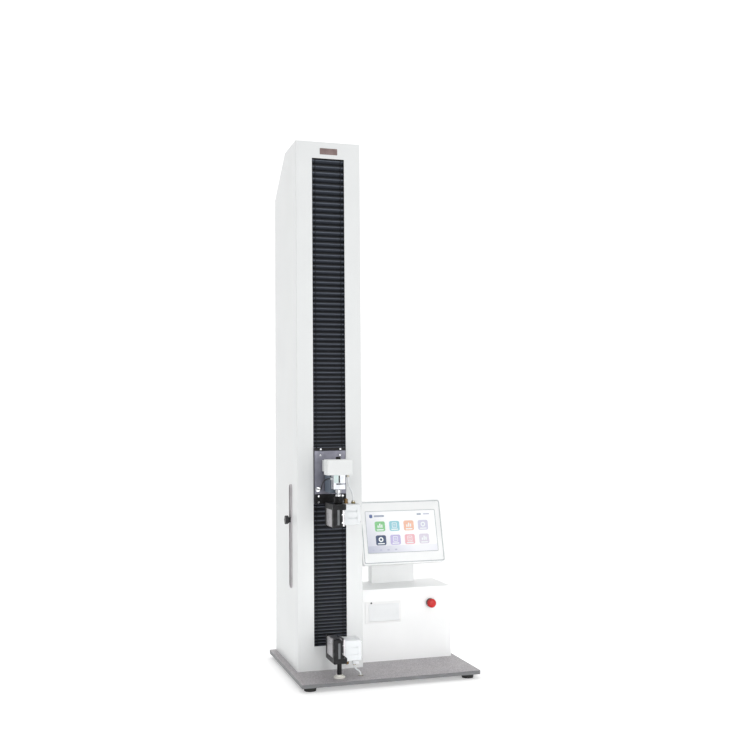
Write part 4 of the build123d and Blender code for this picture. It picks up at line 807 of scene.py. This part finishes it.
plate_low, plate_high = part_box("crosshead_plate")
bar_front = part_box("clamp_bars")[0].y
bar_places = pairs(axis.x, PLATE_SCREW_REACH, bar_front, plate_high.z - TOP_BAR_DROP)
for rise in (5, 21):
    bar_places += pairs(axis.x, BAR_SCREW_REACH, bar_front, plate_low.z + rise * MM)
socket_screws("clamp_bar_screws", bar_places, 2.6 * MM, FRONT, chrome, "crosshead")
plate_places = pairs(axis.x, PLATE_SCREW_REACH, plate_low.y, plate_high.z - PLATE_SCREW_DROP)
socket_screws("crosshead_plate_screws", plate_places, 2.8 * MM, FRONT, chrome, "crosshead")
arm_low, arm_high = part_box("load_arm")
arm_top = [(axis.x, axis.y, arm_high.z)]
socket_screws(
    "arm_screw", arm_top, 6.5 * MM, UP, screw_black, "crosshead", up=(0, 1, 0)
)

for grip, body in (("upper", "crosshead"), ("lower", "frame")):
    low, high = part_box(f"{grip}_grip_frame")
    jaw_side, rise = (low.z, 1) if grip == "upper" else (high.z, -1)
    for side, out, y in (("front", FRONT, low.y), ("back", BEHIND, high.y)):
        places = [(low.x + 23.5 * MM, y, jaw_side + rise * z * MM) for z in (13.5, 34)]
        socket_screws(f"{grip}_grip_{side}_screws", places, 1.8 * MM, out, chrome, body)
        strip = bmesh.new()
        strip_at = facing((low.x + 13.5 * MM, y, jaw_side + rise * 27 * MM), out)
        plate(strip, strip_at, STRIP_WIDTH, STRIP_HEIGHT, STRIP_THICKNESS, 0.6 * MM, 0.3 * MM)
        piece(f"{grip}_grip_{side}_strip", strip, strip_steel, body)
    low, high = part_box(f"{grip}_cylinder")
    middle = (low + high) / 2
    places = [(high.x, middle.y + y * MM, middle.z + z * MM) for y in (-21, 21) for z in (-20, 20)]
    socket_screws(f"{grip}_cylinder_screws", places, 2.6 * MM, RIGHT, chrome, body)

cover_low, cover_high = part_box("rear_cover")
cover_step = (cover_high.z - cover_low.z - 2 * COVER_MARGIN) / (COVER_ROWS - 1)
cover_places = []
for row in range(COVER_ROWS):
    row_z = cover_low.z + COVER_MARGIN + row * cover_step
    cover_places += pairs(axis.x, COVER_REACH, cover_high.y, row_z)
pan_screws("rear_cover_screws", cover_places, 3 * MM, BEHIND, chrome, "frame")

panel_low, panel_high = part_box("box_rear_panel")
panel_middle = (panel_low + panel_high) / 2
panel_reach = (panel_high.x - panel_low.x) / 2 - PANEL_SIDE_MARGIN
panel_places = []
for z in (panel_low.z + PANEL_END_MARGIN, panel_middle.z, panel_high.z - PANEL_END_MARGIN):
    panel_places += pairs(panel_middle.x, panel_reach, panel_high.y, z)
pan_screws("rear_panel_screws", panel_places, 2.5 * MM, BEHIND, chrome, "frame")
box_low, box_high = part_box("control_box")
side_places = [
    (box_high.x, y, z)
    for y in (box_low.y + 16 * MM, box_high.y - 16 * MM)
    for z in (box_low.z + 14 * MM, box_high.z - 16 * MM)
]
pan_screws("box_side_screws", side_places, 2.5 * MM, RIGHT, chrome, "frame")
print("screw heads on the rear cover:", len(cover_places))

# %% [markdown]
# ## Blank plates
# The photographed machine has a name plate at the top of its column and a label on the load cell.
# Here both are blank: the plate is brown anodised aluminium with a raised border, and the label is
# pale film. A blank plate still matters, since the eye looks for it above the bellows.

# %% Name plate and cell label
brown_anodised = blasted_aluminium("brown_anodised_plate", "82716E", "968583", roughness=0.4)
label_film = moulded("pale_label_film", "CFE3E1", "DDEDEB", roughness=0.45, grain_mm=3.0)
shell_low, shell_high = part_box("column_shell")
plate_at = (axis.x + 1.5 * MM, shell_low.y, shell_high.z - 25.5 * MM)
name_plate = bmesh.new()
plate(name_plate, facing(plate_at, FRONT), 49 * MM, 17 * MM, 0.6 * MM, 1.5 * MM, 0.15 * MM)
raised = facing((plate_at[0], plate_at[1] - 0.6 * MM, plate_at[2]), FRONT)
border_outer = rounded(47 * MM, 15 * MM, 1 * MM)
border_inner = rounded(44 * MM, 12 * MM, 0.5 * MM)
ring(name_plate, raised, border_outer, border_inner, 0.3 * MM)
piece("name_plate_blank", name_plate, brown_anodised, "frame")
cell_low, cell_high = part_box("load_cell")
label = bmesh.new()
label_at = (axis.x - 8.5 * MM, cell_low.y, cell_low.z + 16 * MM + 11 * MM)
plate(label, facing(label_at, FRONT), 12.5 * MM, 21 * MM, 0.3 * MM, 1 * MM, 0.1 * MM)
piece("load_cell_label", label, label_film, "crosshead")
# A thin black strip beside the label is painted shade: it stands for the dark gap between the label
# and the bare metal of the cell.
cell_gap_shade = bmesh.new()
gap_shade_at = (axis.x - 0.6 * MM, cell_low.y, label_at[2] - 1 * MM)
plate(cell_gap_shade, facing(gap_shade_at, FRONT), 3.8 * MM, 19 * MM, 0.4 * MM, 0.5 * MM, 0.1 * MM)
piece("load_cell_gap_shade", cell_gap_shade, black_abs, "crosshead")
print("name plate at", [round(v / MM, 1) for v in plate_at])

# %% [markdown]
# ## Air fittings and the slot's trim
# Each cylinder breathes through a silencer of pressed bronze beads, and takes its hose through a
# collar: brass on the upper cylinder, black with a white elbow on the lower one. They are turned
# and moulded shapes, so the same stacks of outlines make them. Round the slot of the limit stop
# runs an aluminium trim that hides the cut edge of the sheet.

# %% Air fittings
DOWN, LEFT = (0, 0, -1), (-1, 0, 0)
BACKWARD = (0, 1, 0)
for grip, body, out in (("upper", "crosshead", UP), ("lower", "frame", DOWN)):
    low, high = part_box(f"{grip}_cylinder")
    face = high.z if out == UP else low.z
    silencer = bmesh.new()
    stack(silencer, facing((axis.x + 20 * MM, axis.y, face), out, BACKWARD), [
        (0, polygon(6.4 * MM, 6)),
        (3.4 * MM, polygon(6.4 * MM, 6)),
        (3.4 * MM, circle(5.4 * MM)),
        (11 * MM, circle(5.1 * MM)),
        (12.8 * MM, circle(3 * MM)),
    ])
    piece(f"{grip}_silencer", silencer, bronze, body, sharp=30)
    port_at = facing((axis.x + 40 * MM, axis.y, face), out, BACKWARD)
    collar = bmesh.new()
    stack(collar, port_at, [
        (0, circle(5.4 * MM)),
        (3.2 * MM, circle(5.4 * MM)),
        (4 * MM, circle(4.6 * MM)),
    ])
    collar_finish, collar_slot = (aged_brass, "brass") if out == UP else (black_abs, "black_plastic")
    piece(f"{grip}_port_collar", collar, collar_finish, body, sharp=30)
    if out == DOWN:
        elbow = bmesh.new()
        beside = Matrix.Translation((-3.4 * MM, 0, 4.2 * MM))
        plate(elbow, port_at @ beside, 17 * MM, 10.4 * MM, 8.6 * MM, 3 * MM, 0.6 * MM)
        piece("lower_elbow", elbow, hose_pu, body)

# %% Slot trim
rail_low, rail_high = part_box("limit_rail")
rail_middle = (rail_low + rail_high) / 2
SLOT_WIDTH, SLOT_LENGTH, TRIM_WIDTH, TRIM_HEIGHT = 20.4, 276.4, 2.2, 3.6
trim = bmesh.new()
outer = rounded(
    (SLOT_WIDTH + 2 * TRIM_WIDTH) * MM,
    (SLOT_LENGTH + 2 * TRIM_WIDTH) * MM,
    (SLOT_WIDTH / 2 + TRIM_WIDTH - 0.4) * MM,
    steps=10,
)
inner = rounded(SLOT_WIDTH * MM, SLOT_LENGTH * MM, (SLOT_WIDTH / 2 - 0.4) * MM, steps=10)
ring(trim, facing((shell_low.x, rail_middle.y, rail_middle.z), LEFT), outer, inner, TRIM_HEIGHT * MM)
piece("limit_slot_trim", trim, trim_aluminium, "frame")
print("slot trim length in mm:", SLOT_LENGTH + 2 * TRIM_WIDTH)

# %% [markdown]
# ## Emergency stop
# The solid's dome has a few flat bands. The rendered button is drawn by the same profile with many
# more steps, so that its highlight runs round it without a break.

# %% Emergency stop
button_low, button_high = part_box("estop_button")
button_middle = (button_low + button_high) / 2
HEAD_RADIUS = (button_high.z - button_low.z) / 2
HEAD_HEIGHT, RIM_HEIGHT, RIM_EDGE = 12 * MM, 4.5 * MM, 1.5 * MM
FLAT_RADIUS, STEM_RADIUS = 6 * MM, 5 * MM
head_back = button_low.y + HEAD_HEIGHT
smooth = 48
layers = [
    (head_back - button_high.y, circle(STEM_RADIUS, smooth)),
    (0, circle(STEM_RADIUS, smooth)),
    (0, circle(HEAD_RADIUS - RIM_EDGE, smooth)),
    (RIM_EDGE, circle(HEAD_RADIUS, smooth)),
]
for step in range(13):
    angle = radians(90 * step / 12)
    reach = FLAT_RADIUS + (HEAD_RADIUS - FLAT_RADIUS) * cos(angle)
    layers.append((RIM_HEIGHT + (HEAD_HEIGHT - RIM_HEIGHT) * sin(angle), circle(reach, smooth)))
mushroom = bmesh.new()
head_at = (button_middle.x, head_back, button_middle.z)
stack(mushroom, facing(head_at, FRONT), layers)
mushroom_button = piece("estop_mushroom", mushroom, red_abs, "estop", sharp=50)
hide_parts("estop_button")
print("mushroom radius in mm:", round(HEAD_RADIUS / MM, 2))

# %% [markdown]
# ## Touch screen
# The whole front is one sheet of glass, white behind its edge. The picture is a home page with two
# rows of four tiles, drawn as very thin plates that glow a little, as lit pixels do. The tiles carry
# simple signs and no words. A grey gasket runs between the glass and the housing.

# %% Screen places and colours
FADE_DIRECTION = (0.75, 0.0, 0.66)
FADE_FROM, FADE_TO = 0.2, 0.314
SCREEN_TILT = radians(15)
SCREEN_HEIGHT = 179 * MM
housing_low, housing_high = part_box("monitor_housing")
screen_up = Vector((0, sin(SCREEN_TILT), cos(SCREEN_TILT)))
screen_out = Vector((0, -cos(SCREEN_TILT), sin(SCREEN_TILT)))
screen_foot = Vector((
    (housing_low.x + housing_high.x) / 2,
    housing_low.y,
    housing_high.z - SCREEN_HEIGHT * cos(SCREEN_TILT),
))


def on_screen(across, rise, proud=0.0):
    """A place on the screen's front: millimetres from its centre line and from its lower edge."""
    origin = screen_foot + Vector((across * MM, 0, 0)) + screen_up * (rise * MM)
    return facing(origin + screen_out * (proud * MM), screen_out, screen_up)


def lit_pixels(name, code, corner_code=None, glow=0.07):
    """A lit colour with the grid of the display, drawn at 1.2 mm. It may fade to the lower left."""
    material, tree, shader, place = start_material(name, 0.22)
    along = add(
        tree, "ShaderNodeVectorMath", {0: place, 1: FADE_DIRECTION}, operation="DOT_PRODUCT",
    )
    fade = add(
        tree, "ShaderNodeMapRange",
        {"Value": along.outputs["Value"], "From Min": FADE_FROM, "From Max": FADE_TO},
    )
    lit = mix(tree, fade.outputs["Result"], linear(corner_code or code), linear(code))
    columns = add(
        tree, "ShaderNodeTexWave",
        {"Vector": place, "Scale": per_metre(1.2) / (2 * pi)},
        wave_type="BANDS", bands_direction="X",
    )
    gaps = add(
        tree, "ShaderNodeMapRange",
        {"Value": columns.outputs["Fac"], "To Min": 1.0, "To Max": 0.92},
    )
    shade = mix(tree, 1.0, lit, gaps.outputs["Result"], blend_type="MULTIPLY")
    for socket in ("Base Color", "Emission Color"):
        tree.links.new(shade, shader.inputs[socket])
    shader.inputs["Emission Strength"].default_value = glow
    return material


page_white = lit_pixels("page_white", "F9FAFB", "C6C8D6")
page_band = lit_pixels("page_band", "EDEEF4", "B4B7C8")
page_grey = lit_pixels("page_grey", "9AA3B4")
badge_blue = lit_pixels("badge_blue", "5A6C98")
key_lilac = lit_pixels("key_lilac", "B9BBCE")
sign_white = lit_pixels("sign_white", "EEF3F4")
gasket_grey = moulded("grey_gasket", "A4A9AD", "B2B7BA", roughness=0.5)
TILES = (
    ("tile_green", "86C68C", "bars"),
    ("tile_cyan", "94CAD6", "sheet"),
    ("tile_orange", "EDBBA2", "bars"),
    ("tile_mist", "CFCDE0", "disc"),
    ("tile_navy", "42506E", "disc"),
    ("tile_purple", "BEB5DC", "sheet"),
    ("tile_pink", "E8B4BC", "sheet"),
    ("tile_rose", "D8D2DF", "bars"),
)

# %% Screen page
PAGE_WIDTH, PAGE_HEIGHT = 205.3, 115.7
PAGE_X, PAGE_FOOT = -1.8, 32.6
TILE_WIDTH, TILE_HEIGHT = 30, 28
TILE_FIRST_X, TILE_PITCH = 39.6, 42.6
TILE_ROWS = (73.5, 34.6)
BAND_HEIGHT = 19


def screen_plate(name, across, rise, width, height, corner, proud, material):
    """A thin lit plate on the page. Its place is from the page's lower left corner."""
    form = bmesh.new()
    place = on_screen(PAGE_X - PAGE_WIDTH / 2 + across, PAGE_FOOT + rise, proud)
    plate(form, place, width * MM, height * MM, 0.12 * MM, corner * MM, 0.02 * MM)
    return piece(name, form, material, "frame")


def sign(name, kind, across, rise, material):
    """A simple sign on a tile: bars of a chart, a sheet with lines, or a ring."""
    form = bmesh.new()
    place = on_screen(PAGE_X - PAGE_WIDTH / 2 + across, PAGE_FOOT + rise + 2, 0.3)
    if kind == "bars":
        for i, height in enumerate((7, 12, 9)):
            shift = Matrix.Translation(((i - 1) * 5.5 * MM, (height - 12) / 2 * MM, 0))
            plate(form, place @ shift, 3.6 * MM, height * MM, 0.1 * MM, 0.8 * MM, 0.02 * MM)
    elif kind == "sheet":
        sheet_outer = rounded(14 * MM, 15 * MM, 2 * MM)
        sheet_inner = rounded(11 * MM, 12 * MM, 1 * MM)
        ring(form, place, sheet_outer, sheet_inner, 0.1 * MM)
        for i in (-1, 1):
            shift = Matrix.Translation((0, i * 2.2 * MM, 0))
            plate(form, place @ shift, 7 * MM, 1.4 * MM, 0.1 * MM, 0.5 * MM, 0.02 * MM)
    else:
        ring(form, place, circle(7 * MM), circle(3.4 * MM), 0.1 * MM)
    return piece(name, form, material, "frame")


screen_plate("page", PAGE_WIDTH / 2, PAGE_HEIGHT / 2, PAGE_WIDTH, PAGE_HEIGHT, 1.5, 0.0, page_white)
screen_plate(
    "page_footer", PAGE_WIDTH / 2, BAND_HEIGHT / 2, PAGE_WIDTH, BAND_HEIGHT, 1.5, 0.12, page_band
)
screen_plate("page_badge", 15, PAGE_HEIGHT - 13, 9, 10, 3, 0.12, badge_blue)
screen_plate("page_heading", 39, PAGE_HEIGHT - 13, 30, 5, 2, 0.12, page_grey)
screen_plate("page_status", 158, PAGE_HEIGHT - 11, 13, 4.5, 2, 0.12, page_grey)
screen_plate("page_clock", 180, PAGE_HEIGHT - 11, 18, 3, 1.4, 0.12, key_lilac)
for i in range(4):
    screen_plate(f"footer_key_{i + 1}", 15 + i * 22, BAND_HEIGHT / 2 - 2, 7, 4, 1.8, 0.24, key_lilac)
for number, (name, code, kind) in enumerate(TILES):
    across = TILE_FIRST_X + (number % 4) * TILE_PITCH
    rise = TILE_ROWS[number // 4]
    screen_plate(name, across, rise, TILE_WIDTH, TILE_HEIGHT, 5, 0.12, lit_pixels(name, code))
    sign(f"{name}_sign", kind, across, rise, sign_white)
    screen_plate(f"{name}_caption", across, rise - 9.5, 20, 3, 1.4, 0.24, sign_white)

gasket = bmesh.new()
outer = rounded(235.6 * MM, 171.6 * MM, 5.3 * MM)
inner = rounded(231.6 * MM, 167.6 * MM, 3.6 * MM)
ring(gasket, on_screen(0, SCREEN_HEIGHT / MM / 2), outer, inner, 0.3 * MM)
piece("screen_gasket", gasket, gasket_grey, "frame")
edge = bmesh.new()
outer = rounded((PAGE_WIDTH + 3) * MM, (PAGE_HEIGHT + 3) * MM, 2.5 * MM)
inner = rounded(PAGE_WIDTH * MM, PAGE_HEIGHT * MM, 1.5 * MM)
ring(edge, on_screen(PAGE_X, PAGE_FOOT + PAGE_HEIGHT / 2), outer, inner, 0.2 * MM)
piece("display_edge", edge, gasket_grey, "frame")
print("tiles:", len(TILES))

# %% [markdown]
# ## The back
# Behind the slots of the rear panel turns a fan, and the screen's housing has a field of ribs that
# keeps it from warping in its mould. Both are seen from behind and through gaps only, but they are
# what the eye expects there.

# %% Fan and ribs
FAN_RISE, FAN_SIDE, FAN_OPENING = 122 * MM, 60 * MM, 28 * MM
FAN_RADIUS, HUB_RADIUS, FAN_DEPTH = 26 * MM, 11 * MM, 15 * MM
fan_place = facing((panel_middle.x, panel_low.y, panel_low.z + FAN_RISE), FRONT)
fan_frame = bmesh.new()
ring(fan_frame, fan_place, rounded(FAN_SIDE, FAN_SIDE, 4 * MM), circle(FAN_OPENING), FAN_DEPTH)
piece("fan_frame", fan_frame, black_abs, "frame")
blades = bmesh.new()
stack(blades, fan_place, [(1 * MM, circle(HUB_RADIUS)), (FAN_DEPTH, circle(HUB_RADIUS))])
BLADES, BLADE_STEPS = 7, 4
BLADE_EDGE, BLADE_LEAN, BLADE_TWIST = 3 * MM, 0.25, 0.55
for number in range(BLADES):
    start = 2 * pi * number / BLADES
    fore, aft = [], []
    for step in range(BLADE_STEPS + 1):
        share = step / BLADE_STEPS
        reach = HUB_RADIUS * 0.95 + (FAN_RADIUS - HUB_RADIUS) * share
        twist = BLADE_TWIST - 0.15 * share
        for row, lag, depth in ((fore, 0.0, BLADE_EDGE), (aft, twist, FAN_DEPTH - BLADE_EDGE)):
            angle = start + lag + BLADE_LEAN * share
            corner = Vector((reach * cos(angle), reach * sin(angle), depth))
            row.append(blades.verts.new(fan_place @ corner))
    for i in range(BLADE_STEPS):
        blades.faces.new((fore[i], fore[i + 1], aft[i + 1], aft[i]))
piece("fan_blades", blades, black_abs, "frame")

ribs = bmesh.new()
RIBS, RIB_PITCH, RIB_WIDTH, RIB_HEIGHT = 13, 7.0, 3 * MM, 34 * MM
back_centre = screen_foot + screen_up * (145 * MM) - screen_out * (30 * MM)
rib_place = facing(back_centre, -screen_out, screen_up)
for number in range(RIBS):
    shift = Matrix.Translation(((number - (RIBS - 1) / 2) * RIB_PITCH * MM, 0, 0))
    plate(ribs, rib_place @ shift, RIB_WIDTH, RIB_HEIGHT, 0.8 * MM, 1.4 * MM, 0.4 * MM)
piece("housing_ribs", ribs, white_abs, "frame")
print("fan blades:", BLADES, "ribs:", RIBS)

# %% [markdown]
# ## Dressing the solids
# The frame's own pieces take their finishes from one table, so that it can be read like a parts
# list. Nothing in their meshes changes.

# %% Dress the frame's own pieces
FINISHES = {
    base_coat: ["base_plate"],
    rubber: ["base_feet"],
    white_powder: ["column_shell", "rear_cover", "load_arm"],
    # The box, its rear panel and the stand take the lighter copy of the white coat, painted light
    # against their shade.
    box_lit_powder: ["control_box", "box_rear_panel", "monitor_stand"],
    cylinder_powder: ["upper_cylinder", "lower_cylinder"],
    amplifier_coat: ["cell_amplifier"],
    aluminium: [
        "mast", "motor_pulley", "screw_pulley", "limit_rail", "limit_block",
        "crosshead_saddle", "air_valve",
    ],
    plate_aluminium: ["crosshead_plate"],
    cell_aluminium: ["load_cell"],
    rail_steel: ["guide_rails", "guide_carriages", "ball_screw", "ball_nut"],
    sheet_steel: ["motor_bracket", "power_supply"],
    jaw_steel: ["upper_fixed_jaw", "lower_fixed_jaw", "upper_moving_jaw", "lower_moving_jaw"],
    blackened: [
        "bearing_blocks", "drive_motor", "clamp_bars", "cell_adaptor", "lower_post",
        "upper_grip_frame", "lower_grip_frame",
    ],
    chrome: ["cell_joint", "cell_connector"],
    zinc: ["lock_flange"],
    nickel: ["upper_hose_fittings", "lower_hose_fittings"],
    belt_rubber: ["timing_belt"],
    black_abs: ["limit_knob", "power_inlet", "power_switch", "printer_button", "estop_body"],
    red_abs: ["estop_button"],
    printer_abs: ["printer_body"],
    door_abs: ["printer_door"],
    paper_white: ["paper_roll"],
    circuit_green: ["control_board"],
    white_abs: ["monitor_housing", "monitor_glass"],
}
for material, names in FINISHES.items():
    for name in names:
        mesh = nodes[name].data
        mesh.materials.clear()
        mesh.materials.append(material)
dressed = sum(len(names) for names in FINISHES.values())
for line, material, slot in (
    (upper_hose, hose_pu, "hose_white"),
    (lower_hose, hose_pu, "hose_white"),
    (cell_cable, cable_pvc, "black_rubber"),
):
    line.data.materials.append(material)
print("dressed nodes:", dressed)
